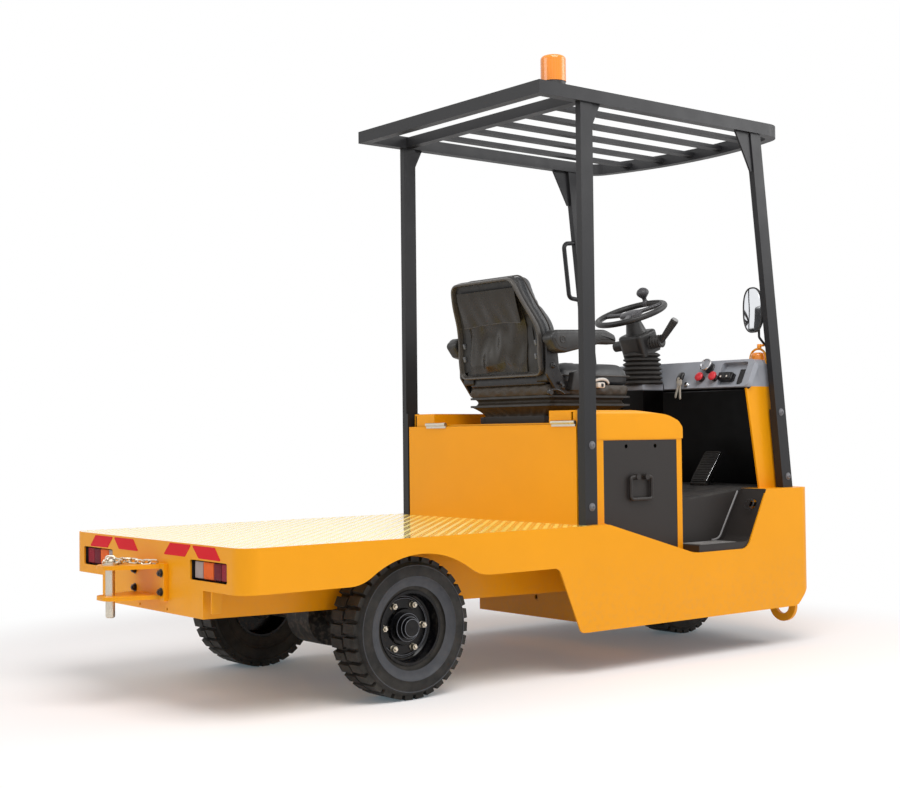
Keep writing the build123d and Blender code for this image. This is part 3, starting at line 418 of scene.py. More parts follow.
looks = {  # group, its values, the depth of its bump (strength and metres), and the shader's own values
    "bodyYellow": ("paint", {"Paint": (240, 160, 12), "Shine": 0.36, "Dust": 0.12}, 0.04, 0.0004,
                   {"Specular IOR Level": 0.22, "Coat Weight": 0.08, "Coat Roughness": 0.12}),
    # The deck's paint is a paler copy of the body yellow: painted sheen standing in for the white studio
    # mirrored on the deck at a low angle.
    "deckPaintedSheenYellow": ("paint", {"Paint": (252, 224, 110), "Shine": 0.16, "Dust": 0.1}, 0.03, 0.0004,
                   {"Specular IOR Level": 0.9, "Coat Weight": 1.0, "Coat Roughness": 0.08}),
    "frameBlack": ("paint", {"Paint": (34, 34, 36), "Shine": 0.42, "Dust": 0.06}, 0.12, 0.0005,
                   {"Specular IOR Level": 0.32}),
    "chassisBlack": ("paint", {"Paint": (28, 27, 26), "Shine": 0.5, "Dust": 0.4}, 0.1, 0.0005,
                     {"Specular IOR Level": 0.3}),
    "wheelBlack": ("paint", {"Paint": (8, 8, 11), "Shine": 0.22, "Dust": 0.04}, 0.05, 0.0004,
                   {"Specular IOR Level": 0.25}),
    # Pale grey: a painted highlight along the edges of the wheels' rims, and the latches' own grey on the
    # seat.
    "latchGreyAndRimHighlight": ("paint", {"Paint": (96, 98, 104), "Shine": 0.25, "Dust": 0.04}, 0.03, 0.0003),
    "panelGrey": ("paint", {"Paint": (40, 36, 34), "Shine": 0.45, "Dust": 0.1}, 0.12, 0.0005,
                  {"Specular IOR Level": 0.35}),
    "tyreRubber": ("rubber", {"Tint": (34, 32, 29), "Bloom": 0.22}, 0.25, 0.001,
                   {"Specular IOR Level": 0.3}),
    "tyreFlank": ("rubber", {"Tint": (30, 29, 28), "Bloom": 0.18}, 0.2, 0.0006, {"Specular IOR Level": 0.3}),
    # The dish's paler blue-grey rubber is painted sheen.
    "tyreDishPaintedSheen": ("rubber", {"Tint": (54, 56, 61), "Bloom": 0.12}, 0.08, 0.0006),
    "mouldRubber": ("rubber", {"Tint": (32, 30, 29), "Bloom": 0.15}, 0.15, 0.0008),
    "matRubber": ("rubber", {"Tint": (32, 30, 30), "Bloom": 0.25}, 0.3, 0.001),
    "seatVinyl": ("grain", {"Tint": (50, 51, 53), "Cells": 520.0, "Shine": 0.36, "Dust": 0.06}, 0.3, 0.0008),
    "plasticBlack": ("grain", {"Tint": (33, 32, 32), "Cells": 900.0, "Shine": 0.42, "Dust": 0.12},
                     0.2, 0.0005),
    # Dash: a pale tint as painted sheen on the upper face, and a near-black liner as painted shade below the
    # cowl.
    "dashLitAndShadedGrey": ("dash", {"Tint": (158, 161, 168), "ShadedLiner": (4, 3, 3), "Shine": 0.34}, 0.12, 0.0004,
                 {"Specular IOR Level": 0.1}),
    "zincSteel": ("metal", {"Tint": (212, 204, 188), "Shine": 0.28, "Patches": 0.15}, 0.03, 0.0002,
                  {"Metallic": 1.0}),
    "stepMetal": ("metal", {"Tint": (120, 118, 116), "Shine": 0.4}, 0.2, 0.0005, {"Metallic": 0.6}),
    "redLens": ("lens", {"Tint": (150, 14, 40), "Pitch": 150.0}, 0.3, 0.0008,
                {"Coat Weight": 0.12, "Specular IOR Level": 0.2}),
    "amberLens": ("lens", {"Tint": (232, 132, 12), "Pitch": 130.0}, 0.3, 0.0008, {"Coat Weight": 0.3}),
    "lampAmber": ("lens", {"Tint": (238, 104, 16), "Pitch": 150.0}, 0.3, 0.0008,
                  {"Coat Weight": 0.12, "Specular IOR Level": 0.2}),
    "clearLens": ("lens", {"Tint": (168, 152, 146), "Pitch": 150.0}, 0.4, 0.001, {"Coat Weight": 0.4}),
    "dimLens": ("lens", {"Tint": (112, 8, 34), "Pitch": 150.0}, 0.3, 0.0008,
                {"Coat Weight": 0.12, "Specular IOR Level": 0.2}),
    "reflectorRed": ("lens", {"Tint": (216, 8, 30), "Pitch": 330.0}, 0.15, 0.0004,
                     {"Specular IOR Level": 0.05}),
    "nutBlack": ("grain", {"Tint": (24, 22, 24), "Cells": 1100.0, "Shine": 0.3, "Dust": 0.1}, 0.1, 0.0004),
    "boltGrey": ("paint", {"Paint": (104, 104, 108), "Shine": 0.4, "Dust": 0.1}, 0.1, 0.0004),
    "pipingVinyl": ("grain", {"Tint": (58, 53, 49), "Cells": 900.0, "Shine": 0.4, "Dust": 0.05},
                    0.15, 0.0004),
    "shellBlack": ("grain", {"Tint": (20, 18, 17), "Cells": 800.0, "Shine": 0.45, "Dust": 0.1}, 0.2, 0.0005),
    # Paler than the shell: a painted highlight on the rolled rim.
    "rimVinylHighlight": ("grain", {"Tint": (70, 66, 62), "Cells": 800.0, "Shine": 0.3, "Dust": 0.1}, 0.2, 0.0005),
    "pouchCloth": ("grain", {"Tint": (38, 33, 26), "Cells": 900.0, "Shine": 0.27, "Dust": 0.0}, 0.15, 0.0005,
                   {"Specular IOR Level": 0.4}),
    "skirtCloth": ("grain", {"Tint": (52, 42, 29), "Cells": 620.0, "Shine": 0.5, "Dust": 0.06},
                   0.35, 0.0008),
    "beltPale": ("grain", {"Tint": (214, 210, 204), "Cells": 1000.0, "Shine": 0.5, "Dust": 0.1},
                 0.3, 0.0005),
    "palePlastic": ("grain", {"Tint": (222, 214, 204), "Cells": 1000.0, "Shine": 0.35, "Dust": 0.1},
                    0.1, 0.0004),
    "buttonRed": ("paint", {"Paint": (208, 44, 52), "Shine": 0.3, "Dust": 0.1}, 0.05, 0.0004),
    "chromeTrim": ("metal", {"Tint": (228, 228, 230), "Shine": 0.12}, 0.05, 0.0002, {"Metallic": 1.0}),
    "mirrorSilver": ("metal", {"Tint": (232, 234, 238), "Shine": 0.04, "Patches": 0.05}, 0.0, 0.0002,
                     {"Metallic": 1.0}),
    "gaugeGlass": ("paint", {"Paint": (150, 152, 158), "Shine": 0.08, "Dust": 0.0}, 0.0, 0.0004,
                   {"Coat Weight": 1.0}),
    "wheelGrip": ("grain", {"Tint": (66, 65, 68), "Cells": 900.0, "Shine": 0.4, "Dust": 0.08}, 0.2, 0.0005),
    "keySteel": ("paint", {"Paint": (206, 200, 188), "Shine": 0.25, "Dust": 0.0}, 0.03, 0.0003),
    "capGrey": ("paint", {"Paint": (150, 150, 150), "Shine": 0.4, "Dust": 0.05}, 0.05, 0.0004),
    "amberPlastic": ("paint", {"Paint": (240, 150, 40), "Shine": 0.35, "Dust": 0.05}, 0.05, 0.0004),
    # Pale grey strip on each step's fold: a painted highlight.
    "lipHighlightGrey": ("paint", {"Paint": (128, 126, 126), "Shine": 0.4, "Dust": 0.1}, 0.08, 0.0004),
}
materials = {name: makeMaterial(name, *look) for name, look in looks.items()}

slotFinish = {
    "tyre": "tyreRubber", "wheel_black": "wheelBlack", "chassis_black": "chassisBlack",
    "body_yellow": "bodyYellow", "deck_yellow": "deckPaintedSheenYellow", "panel_grey": "panelGrey",
    "frame_black": "frameBlack", "steel_zinc": "zincSteel", "step_grey": "stepMetal",
    "mat_black": "matRubber", "rubber_black": "mouldRubber", "plastic_black": "plasticBlack",
    "dash_grey": "dashLitAndShadedGrey", "seat_vinyl": "seatVinyl", "lens_red": "redLens",
    "lens_amber": "amberLens", "lens_clear": "clearLens",
}


def finishNodes():
    # Every CAD node takes the finish of its slot.
    for part in frame["record"]["subparts"]:
        node = frame["nodes"][part["node"]]
        node.data.materials.clear()
        node.data.materials.append(materials[slotFinish[part["material_slot"]]])


finishNodes()
print("materials placed")


# forms: each is its points in millimetres and its four-sided faces


def toRow(points):
    # From the rear axle, centreline and ground in millimetres to metres in the row frame.
    return np.asarray(points, float) / 1000 - np.array([axleToOrigin, 0, 0])


def gridQuads(rows, columns, rowsJoin=False, columnsJoin=False):
    # Faces between neighbouring points of a grid that is numbered row by row.
    r, c = np.meshgrid(np.arange(rows if rowsJoin else rows - 1),
                       np.arange(columns if columnsJoin else columns - 1), indexing="ij")
    r, c = r.ravel(), c.ravel()
    r2, c2 = (r + 1) % rows, (c + 1) % columns
    return np.stack([r * columns + c, r2 * columns + c, r2 * columns + c2, r * columns + c2], 1)


def borderQuads(rows, columns):
    # The wall between the border of one grid and that of a second one numbered after it.
    ids = np.arange(rows * columns).reshape(rows, columns)
    ring = np.concatenate([ids[:, 0], ids[-1, 1:], ids[-2::-1, -1], ids[0, -2:0:-1]])
    ahead = np.roll(ring, -1)
    return np.stack([ring, ahead, ahead + rows * columns, ring + rows * columns], 1)


def walled(front, back, rows, columns):
    # Two grids of points, one before the other, with a wall round their border.
    quads = gridQuads(rows, columns)
    return (np.concatenate([front, back]),
            np.concatenate([quads, quads + len(front), borderQuads(rows, columns)]))


def ringAt(path, height):
    # A flat outline as a ring of points at a height.
    return np.column_stack([path, np.full(len(path), float(height))])


def ringed(rings, rowsJoin=False):
    # Rings of as many points each, every one joined to the next.
    return np.concatenate(rings), gridQuads(len(rings), len(rings[0]), rowsJoin, True)


def stacked(rings, power=2.0, around=40, rowsJoin=False):
    # Ring k has half sizes a, b and height z: x = a c(t), y = b s(t), where c and s are the cosine and sine
    # raised to 2/power with their signs. Power 2 is round, 8 is nearly a rectangle.
    t = np.linspace(0, 2 * np.pi, around, endpoint=False)
    c, s = np.cos(t), np.sin(t)
    c, s = np.sign(c) * np.abs(c) ** (2 / power), np.sign(s) * np.abs(s) ** (2 / power)
    rings = np.array(rings, float)
    points = np.stack([rings[:, :1] * c, rings[:, 1:2] * s, rings[:, 2:] + 0 * c], -1)
    return points.reshape(-1, 3), gridQuads(len(rings), around, rowsJoin, True)


def lathe(profile, around=40, rowsJoin=False):
    # A profile of (radius, height) pairs turned about z.
    return stacked([(r, r, z) for r, z in profile], 2.0, around, rowsJoin)


def pad(a, b, depth, edge, crown=0.0, power=8.0, around=48):
    # A flat back, straight sides, a quarter-round front edge and a front that bulges by crown (1 - s²).
    turn = np.linspace(0, np.pi / 2, 5)
    sides = [(a - edge + edge * np.cos(q), b - edge + edge * np.cos(q), depth - edge + edge * np.sin(q))
             for q in turn]
    front = [((a - edge) * s, (b - edge) * s, depth + crown * (1 - s * s)) for s in (0.8, 0.5, 0.0)]
    return stacked([(0, 0, 0), (a, b, 0)] + sides + front, power, around)


def roundedOutline(corners, perArc=7):
    # Corners come as (x, y, radius); each is swept as an arc that touches both of its sides.
    spots = np.array([c[:2] for c in corners], float)
    out = []
    for number, corner in enumerate(corners):
        here, radius = spots[number], corner[2]
        back, ahead = spots[number - 1] - here, spots[(number + 1) % len(spots)] - here
        back, ahead = back / np.linalg.norm(back), ahead / np.linalg.norm(ahead)
        half = np.arccos(np.clip(back @ ahead, -1, 1)) / 2
        if radius < 0.01 or half > 1.56:  # no arc, or hardly a corner
            out.append(here[None])
            continue
        middle = here + (back + ahead) / np.linalg.norm(back + ahead) * radius / np.sin(half)
        first = here + back * radius / np.tan(half) - middle
        last = here + ahead * radius / np.tan(half) - middle
        share = np.linspace(0, 1, perArc)[:, None]
        sweep = np.pi - 2 * half
        arc = (np.sin((1 - share) * sweep) * first + np.sin(share * sweep) * last) / np.sin(sweep)
        out.append(middle + arc)
    return np.concatenate(out)


def evenly(path, count, closed=True):
    # The same path with its points spaced evenly along its length.
    path = np.concatenate([path, path[:1]]) if closed else path
    run = np.concatenate([[0], np.cumsum(np.linalg.norm(np.diff(path, axis=0), axis=1))])
    want = np.linspace(0, run[-1], count, endpoint=not closed)
    return np.stack([np.interp(want, run, path[:, k]) for k in range(path.shape[1])], 1)


def outlined(corners, count):
    # A rounded outline with its points spaced evenly.
    return evenly(roundedOutline(corners), count)


def rectangle(low, high, radii, count):
    # The rounded outline between two opposite corners, with one radius or four.
    (x1, y1), (x2, y2) = low, high
    corners = zip((x1, x2, x2, x1), (y1, y1, y2, y2), np.broadcast_to(radii, (4,)))
    return outlined(list(corners), count)


def insetOutline(path, inset):
    # A closed outline moved inwards by inset along its own normals.
    along = np.roll(path, -1, 0) - np.roll(path, 1, 0)
    normal = np.stack([-along[:, 1], along[:, 0]], 1)
    normal /= np.linalg.norm(normal, axis=1)[:, None] + 1e-12
    area = np.sum(path[:, 0] * np.roll(path[:, 1], -1) - np.roll(path[:, 0], -1) * path[:, 1])
    return path + normal * inset * np.sign(area)


def levelled(path, levels, rowsJoin=False):
    # An outline carried through (inset, height) pairs: its wall, its rounded edges and its lips.
    return ringed([ringAt(insetOutline(path, inset), height) for inset, height in levels], rowsJoin)


def cushioned(path, levels, middle, shrink):
    # The outline through its levels, its open ends drawn in towards the middle, where small faces close them.
    rings = [ringAt(insetOutline(path, inset), height) for inset, height in levels]
    foot, tip = ((ring - middle) * shrink + middle for ring in (rings[0], rings[-1]))
    return ringed([foot] + rings + [tip])


def plate(path, depth, edge):
    # A plate of that outline from height 0 to depth, both faces' edges rounded, its faces left to be filled.
    turn = np.linspace(0, np.pi / 2, 4)
    low = [(edge - edge * np.sin(q), edge - edge * np.cos(q)) for q in turn]
    high = [(edge - edge * np.cos(q), depth - edge + edge * np.sin(q)) for q in turn]
    return levelled(path, low + high)


def smoothPath(points, per=8, closed=False):
    # A uniform cubic B-spline through the neighbourhood of the points, held at its ends where it is open.
    p = np.array(points, float)
    p = np.concatenate([p[-1:], p, p[:2]] if closed else [p[:1], p[:1], p, p[-1:], p[-1:]])
    t = np.linspace(0, 1, per, endpoint=False)[:, None]
    weights = ((1 - t) ** 3, 3 * t ** 3 - 6 * t ** 2 + 4, -3 * t ** 3 + 3 * t ** 2 + 3 * t + 1, t ** 3)
    runs = [sum(w * p[k + n] for n, w in enumerate(weights)) / 6 for k in range(len(p) - 3)]
    return np.concatenate(runs) if closed else np.concatenate(runs + [p[-1:]])


def tube(path, radius, side, around=10, closed=False, flatness=1.0):
    # A section of that radius carried along the path; side is any direction that the path never takes.
    path = np.array(path, float)
    along = np.roll(path, -1, 0) - np.roll(path, 1, 0) if closed else np.gradient(path, axis=0)
    along /= np.linalg.norm(along, axis=1)[:, None]
    first = np.cross(along, np.array(side, float))
    first /= np.linalg.norm(first, axis=1)[:, None]
    second = np.cross(along, first)
    t = np.linspace(0, 2 * np.pi, around, endpoint=False)[:, None]
    radii = np.broadcast_to(radius, (len(path),))[:, None, None]
    rings = path[:, None] + radii * (np.cos(t) * first[:, None] + flatness * np.sin(t) * second[:, None])
    if not closed:
        start, end = (np.repeat(point[:, None], around, 1) for point in (path[:1], path[-1:]))
        rings = np.concatenate([start, rings, end])
    return rings.reshape(-1, 3), gridQuads(len(rings), around, closed, True)


def copies(form, spots, across, up):
    # The form set down at each spot, its x along across, its y along up and its z square to both.
    points, faces = form
    spots, across, up = (np.atleast_2d(np.array(v, float)) for v in (spots, across, up))
    across, up = np.broadcast_to(across, spots.shape), np.broadcast_to(up, spots.shape)
    axes = np.stack([across, up, np.cross(across, up)], 1)
    laid = np.einsum("pi,kij->kpj", points, axes) + spots[:, None]
    starts = np.arange(len(spots))[:, None, None] * len(points)
    return laid.reshape(-1, 3), (faces[None] + starts).reshape(-1, 4)


onSide = ((1, 0, 0), (0, 0, 1))  # across and up of a form whose height runs to the right
onRear = ((0, -1, 0), (0, 0, 1))  # and of one whose height runs to the rear


def joined(*forms):
    # Several forms as one.
    starts = np.cumsum([0] + [len(points) for points, faces in forms])
    return (np.concatenate([points for points, faces in forms]),
            np.concatenate([faces + start for (points, faces), start in zip(forms, starts)]))


def moved(form, step):
    # The form a step (x, y, z) further on.
    return form[0] + step, form[1]


def mirrored(form):
    # The same form on the other side of the centreline.
    return form[0] * (1, -1, 1), form[1]


def unit(direction):
    # The direction at length 1.
    return np.array(direction, float) / np.linalg.norm(direction)


def facing(form, spots, direction):
    # The form at one spot or several with its z along direction.
    out = unit(direction)
    across = unit(np.cross((0, 0, 1) if abs(out[2]) < 0.9 else (1, 0, 0), out))
    return copies(form, spots, across, np.cross(out, across))


def bell(distance, width):
    # 1 at distance 0, falling as exp(-(distance / width)²).
    return np.exp(-(distance / width) ** 2)


def waves(u, v, terms):
    # The sum of a sin(b u + c v + d) over terms (a, b, c, d).
    return sum(a * np.sin(b * u + c * v + d) for a, b, c, d in terms)


def addPiece(name, form, finish, body, crease=35, fill=False):
    # Doubles are merged, open faces filled if asked, normals turned outwards and sharp edges kept.
    points, faces = form
    mesh = bpy.data.meshes.new(name)
    mesh.from_pydata(toRow(points).tolist(), [], faces.tolist())
    work = bmesh.new()
    work.from_mesh(mesh)
    bmesh.ops.remove_doubles(work, verts=work.verts, dist=1e-6)
    if fill:
        bmesh.ops.holes_fill(work, edges=work.edges, sides=0)
    bmesh.ops.recalc_face_normals(work, faces=work.faces)
    work.to_mesh(mesh)
    work.free()
    mesh.polygons.foreach_set("use_smooth", np.ones(len(mesh.polygons), bool))
    mesh.set_sharp_from_angle(angle=math.radians(crease))
    mesh.materials.append(materials[finish])
    piece = bpy.data.objects.new(name, mesh)
    bpy.context.scene.collection.objects.link(piece)
    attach(piece, body)
    return piece


def spotsOf(mesh):
    # The places of a mesh's points, one row each.
    flat = np.empty(len(mesh.vertices) * 3)
    mesh.vertices.foreach_get("co", flat)
    return flat.reshape(-1, 3)


def swell(piece, soft):
    # Air pressure inside the even mesh of a pad; no point moves further than the cap.
    even = piece.modifiers.new("even", "REMESH")
    even.mode = "VOXEL"
    even.voxel_size = soft["cell"]
    bpy.context.view_layer.update()
    mesh = bpy.data.meshes.new_from_object(piece.evaluated_get(bpy.context.evaluated_depsgraph_get()))
    piece.modifiers.clear()
    piece.data = mesh
    start = spotsOf(mesh)
    cloth = piece.modifiers.new("swell", "CLOTH")
    cloth.settings.use_pressure = True
    cloth.settings.uniform_pressure_force = soft["pressure"]
    cloth.settings.effector_weights.gravity = 0
    for step in range(1, soft["steps"] + 1):
        bpy.context.scene.frame_set(step)
    end = spotsOf(piece.evaluated_get(bpy.context.evaluated_depsgraph_get()).data)
    piece.modifiers.clear()
    bpy.context.scene.frame_set(1)
    length = np.linalg.norm(end - start, axis=1)[:, None]
    capped = start + (end - start) * np.minimum(1, soft["cap"] / np.maximum(length, 1e-9))
    mesh.vertices.foreach_set("co", capped.ravel())
    mesh.polygons.foreach_set("use_smooth", np.ones(len(mesh.polygons), bool))
    mesh.update()


def pressed(piece, change):
    # Moves a piece's points by a function of their places in millimetres, then subdivides it once.
    place = (spotsOf(piece.data) + [axleToOrigin, 0, 0]) * 1000
    piece.data.vertices.foreach_set("co", toRow(change(place)).ravel())
    piece.data.update()
    finer = piece.modifiers.new("finer", "SUBSURF")
    finer.levels = finer.render_levels = 1


# deck tread

tread = {
    "pitch": 24.0, "half": (10.5, 3.0), "top": (7.5, 1.3), "rise": 0.7, "crown": 0.1, "sunk": 0.3,
    "margin": 12.0, "firstX": 8.0, "firstY": 6.0,  # the first row and column stand this far inside the margin
    "front": 768.0, "rear": -665.0, "side": 581.0, "corner": 54.0, "deckTop": 531.0,
}


def deckTread(t):
    # Raised lozenges turned 45° one way and the other by turns, kept inside the rounded deck.
    x = np.arange(t["rear"] + t["margin"] + t["firstX"], t["front"] - t["margin"], t["pitch"])
    y = np.arange(-t["side"] + t["margin"] + t["firstY"], t["side"] - t["margin"], t["pitch"])
    column, row = np.meshgrid(np.arange(len(x)), np.arange(len(y)), indexing="ij")
    spots = np.stack([x[column], y[row], 0 * x[column] + t["deckTop"]], -1).reshape(-1, 3)
    lean = np.where((column + row) % 2, 1, -1).ravel() * np.pi / 4
    intoCorner = (t["rear"] + t["corner"] - spots[:, 0], np.abs(spots[:, 1]) - t["side"] + t["corner"])
    inside = np.hypot(*np.maximum(intoCorner, 0)) < t["corner"] - t["margin"]
    spots, lean = spots[inside], lean[inside]
    across = np.stack([np.cos(lean), np.sin(lean), 0 * lean], 1)
    up = np.stack([-np.sin(lean), np.cos(lean), 0 * lean], 1)
    levels = [(*t["half"], -t["sunk"]), (*t["top"], t["rise"]), (0, 0, t["rise"] + t["crown"])]
    lozenges = copies(stacked(levels, 2.0, 8), spots, across, up)
    addPiece("deck_tread", lozenges, "deckPaintedSheenYellow", "chassis", 60)


deckTread(tread)
print("deck tread placed")


# tail lamps, reflectors and tow plate

tail = {
    "back": -641.0, "low": 418.0, "high": 485.0, "inner": 274.0, "outer": 498.0, "margin": 3.0,
    "lensProud": 8.0, "lensDepth": 9.0, "fluteRise": 1.2, "holderSunk": 2.0, "holderDepth": 11.0,
    "sections": [  # name, finish, slot, ends as shares of the length from the inner end, flutes
        ("clear", "clearLens", "lens_clear", 0.02, 0.25, 7),
        ("amber", "lampAmber", "lens_amber", 0.26, 0.54, 9),
        ("dim", "dimLens", "lens_red", 0.55, 0.75, 7),
        ("red", "redLens", "lens_red", 0.76, 0.98, 7),
    ],
}


def lensPanel(width, height, depth, flutes, rise):
    # Front z = fade (depth + rise |cos(flutes u pi / 2)|) over a flat back, where fade is the fourth root of
    # (1 - |u|^14) (1 - |v|^14).
    u, v = np.meshgrid(np.linspace(-1, 1, 8 * flutes + 1), np.linspace(-1, 1, 13), indexing="ij")
    fade = ((1 - np.abs(u) ** 14) * (1 - np.abs(v) ** 14)) ** 0.25
    front = fade * (depth + rise * np.abs(np.cos(u * np.pi * flutes / 2)))
    quads = gridQuads(*u.shape)
    side = np.stack([u * width / 2, v * height / 2, front], -1).reshape(-1, 3)
    back = side * (1, 1, 0)
    return np.concatenate([side, back]), np.concatenate([quads, quads + len(side)])


def tailLamps(t):
    # Fluted sections side by side, the same on both sides, before a plain holder that closes each window.
    length, height, middle = t["outer"] - t["inner"], t["high"] - t["low"], (t["high"] + t["low"]) / 2
    for name, finish, slot, start, end, flutes in t["sections"]:
        size = (length * (end - start), height - 2 * t["margin"])
        panel = lensPanel(*size, t["lensDepth"], flutes, t["fluteRise"])
        y = t["inner"] + length * (start + end) / 2
        spots = [(t["back"] - t["lensProud"], side * y, middle) for side in (1, -1)]
        piece = addPiece("tail_lens_" + name, copies(panel, spots, *onRear), finish, "chassis", 50)
        if name == "clear":
            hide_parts("tail_lamp_lenses")
    holder = pad(length / 2, height / 2, t["holderDepth"], 3, 0, 12)
    spots = [(t["back"] + t["holderSunk"], side * (t["inner"] + t["outer"]) / 2, middle) for side in (1, -1)]
    addPiece("tail_lamp_holders", copies(holder, spots, *onRear), "plasticBlack", "chassis")


surround = {
    "outer": ((-115, -44.5), (115, 44.5)), "outerRadius": 2.0, "hole": ((-112, -29), (112, 32)),
    "holeRadius": 5.0, "depth": 5.0, "lip": 0.6, "spot": (-665.9, 385.5, 450.0), "points": 120,
}


def lampSurrounds(s):
    # Painted panels that close each window down to the lamp: an outer wall and a smaller rounded opening.
    outer = rectangle(*s["outer"], s["outerRadius"], s["points"])
    hole = rectangle(*s["hole"], s["holeRadius"], s["points"])
    lip = insetOutline(hole, -s["lip"])
    rings = [ringAt(path, height) for path, height in
             ((outer, 0), (outer, s["depth"]), (hole, s["depth"]), (lip, s["depth"]), (lip, 0))]
    x, y, z = s["spot"]
    panels = copies(ringed(rings, True), [(x, y, z), (x, -y, z)], *onRear)
    addPiece("tail_lamp_surrounds", panels, "bodyYellow", "chassis", 30)


valance = {"low": (-670.5, 323.5), "high": (-634, 409), "radii": (1, 8, 1, 1), "thick": 5.0, "edge": 1.2,
           "y": -399.5}


def valanceFlange(v):
    # The valance's right end folded forward, as a plate that stands along X.
    flange = plate(rectangle(v["low"], v["high"], v["radii"], 60), v["thick"], v["edge"])
    flange = copies(flange, (0, v["y"], 0), *onSide)
    addPiece("valance_flange", flange, "bodyYellow", "chassis", 40, True)


reflectors = {
    "face": -671.0, "drop": 1.5, "radius": 2.5, "levels": [(0, -0.5), (0, 0.9), (0.5, 1.3)],
    "plates": [  # corners (y, z) on the rear face
        [(-141, 529), (-279, 529), (-239, 490), (-97, 490)],
        [(-285, 528), (-427, 528), (-463, 489), (-326, 490)],
        [(405, 527), (268, 527), (311, 489), (449, 487)],
        [(262, 527), (117, 527), (81, 489), (224, 489)],
    ],
}


def reflectorPlates(r):
    # Thin plates, each an outline through its levels, with the softened front edge closed by its own inset.
    forms = []
    for corners in r["plates"]:
        ring = outlined([(-y, z - r["drop"], r["radius"]) for y, z in corners], 72)
        forms.append(copies(levelled(ring, r["levels"]), (r["face"], 0, 0), *onRear))
    addPiece("rear_reflectors", joined(*forms), "reflectorRed", "chassis", 35, True)


towPlate = {
    "face": -685.0, "nuts": [(-105, 429), (-105, 369), (78, 371), (78, 429)], "size": 1.05,
    "washer": [(0, 0), (13, 0), (13, 1.6), (0, 1.7)], "washerThick": 1.6,
    "nut": [(0, 0, 0), (10.5, 10.5, 0), (10.5, 10.5, 7), (9, 9, 8.5), (0, 0, 8.6)],
    "tip": [(8, 7.9), (5, 8), (5, 11), (4, 12), (0, 12)],
}


def towPlateNuts(t):
    # A washer, a six-sided nut and the bolt's tip standing out of it, at each corner of the plate.
    onWasher = (0, 0, t["washerThick"])
    nut = joined(lathe(t["washer"], 24), moved(stacked(t["nut"], 2.0, 6), onWasher),
                 moved(lathe(t["tip"], 16), onWasher))
    spots = [(t["face"], y, z) for y, z in t["nuts"]]
    addPiece("tow_plate_nuts", facing((nut[0] * t["size"], nut[1]), spots, (-1, 0, 0)), "nutBlack",
             "chassis")


chain = {
    "length": 30.0, "width": 18.0, "wire": 3.2, "spacing": 0.72,
    "onHead": [(-826, -6, 473), (-812, 12, 478), (-800, -4, 477), (-790, -14, 470)],
    "onJaw": [(-788, -16, 464), (-768, -6, 470), (-752, 10, 468), (-738, -8, 466), (-726, -30, 463),
              (-708, -52, 462), (-692, -66, 463)],
    "ringSpot": (-810, 0, 470), "ringRadii": (17, 14), "ringLean": 3.0, "ringWire": 2.4,
}


def chainLink(c):
    # A stadium of wire: two half circles joined by straights, in the x y plane.
    reach, half = (c["length"] - c["width"]) / 2, c["width"] / 2
    t = np.linspace(0, 2 * np.pi, 20, endpoint=False)
    path = np.stack([np.sign(np.cos(t)) * reach + half * np.cos(t), half * np.sin(t), 0 * t], 1)
    return tube(path, c["wire"], (0, 0, 1), 8, True)


def chainAlong(route, c):
    # Links at least the spacing's share of a length apart, each turned a quarter against the one before.
    path = smoothPath(route, 12)
    run = np.linalg.norm(np.diff(path, axis=0), axis=1).sum()
    count = int(run / (c["length"] * c["spacing"])) + 1
    spots = evenly(path, count, False)
    along = np.gradient(spots, axis=0)
    along /= np.linalg.norm(along, axis=1)[:, None]
    flat = np.cross(along, (0, 0, 1))
    flat /= np.linalg.norm(flat, axis=1)[:, None]
    upright = np.cross(flat, along)
    turn = np.pi / 4 + (np.arange(count) % 2)[:, None] * np.pi / 2
    return copies(chainLink(c), spots, along, np.cos(turn) * flat + np.sin(turn) * upright)


def pinRing(c):
    # A wire ring round the pin's head: an ellipse, tilted so that its height follows its cosine.
    t = np.linspace(0, 2 * np.pi, 32, endpoint=False)
    (x, y, z), (a, b) = c["ringSpot"], c["ringRadii"]
    path = np.stack([x + a * np.cos(t), y + b * np.sin(t), z + c["ringLean"] * np.cos(t)], 1)
    return tube(path, c["ringWire"], (0, 0, 1), 10, True)


tailLamps(tail)
lampSurrounds(surround)
valanceFlange(valance)
reflectorPlates(reflectors)
towPlateNuts(towPlate)
addPiece("pin_chain_head", chainAlong(chain["onHead"], chain), "zincSteel", "drawbar_pin")
addPiece("pin_chain_jaw", chainAlong(chain["onJaw"], chain), "zincSteel", "chassis")
addPiece("pin_ring", pinRing(chain), "zincSteel", "drawbar_pin")
print("rear fittings placed")


# wheels: nuts, the sidewalls' bands, dishes painted paler as sheen, and edges painted pale as highlights

wheels = {
    "rearY": 460.0, "frontX": 1815.0, "axleZ": 232.5, "boltCircle": 80.0, "nuts": 6, "nutFrom": 13.5,
    "cone": [(0, 0), (13.5, 0), (11, 3), (0, 3)],
    "nut": [(0, 0, 3), (11.6, 11.6, 3), (11.6, 11.6, 12.5), (9.8, 9.8, 15), (6, 6, 15)],
    "stud": [(6.2, 14.9), (5.5, 21), (4.5, 22), (0, 22)],
    "band": [(168, 69.5), (168, 74), (169, 79.6), (171, 80.8), (174, 79.4), (188, 79.9), (202, 78),
             (204, 79.2), (207, 79), (208.6, 76), (214, 69.5)],
    "dish": [(137, 69.2), (146, 69.8), (154, 71.4), (161, 74.4), (166, 78), (168.5, 80.8), (168.5, 69.2)],
    "beads": [(169.5, 80.4, 1.2), (205.6, 79.0, 1.5)],  # radius, height and thickness
    "edges": [(28.6, 65.6), (35.6, 55.6), (45.6, 43.6), (93, 18.6), (99.5, 14.8)],
}


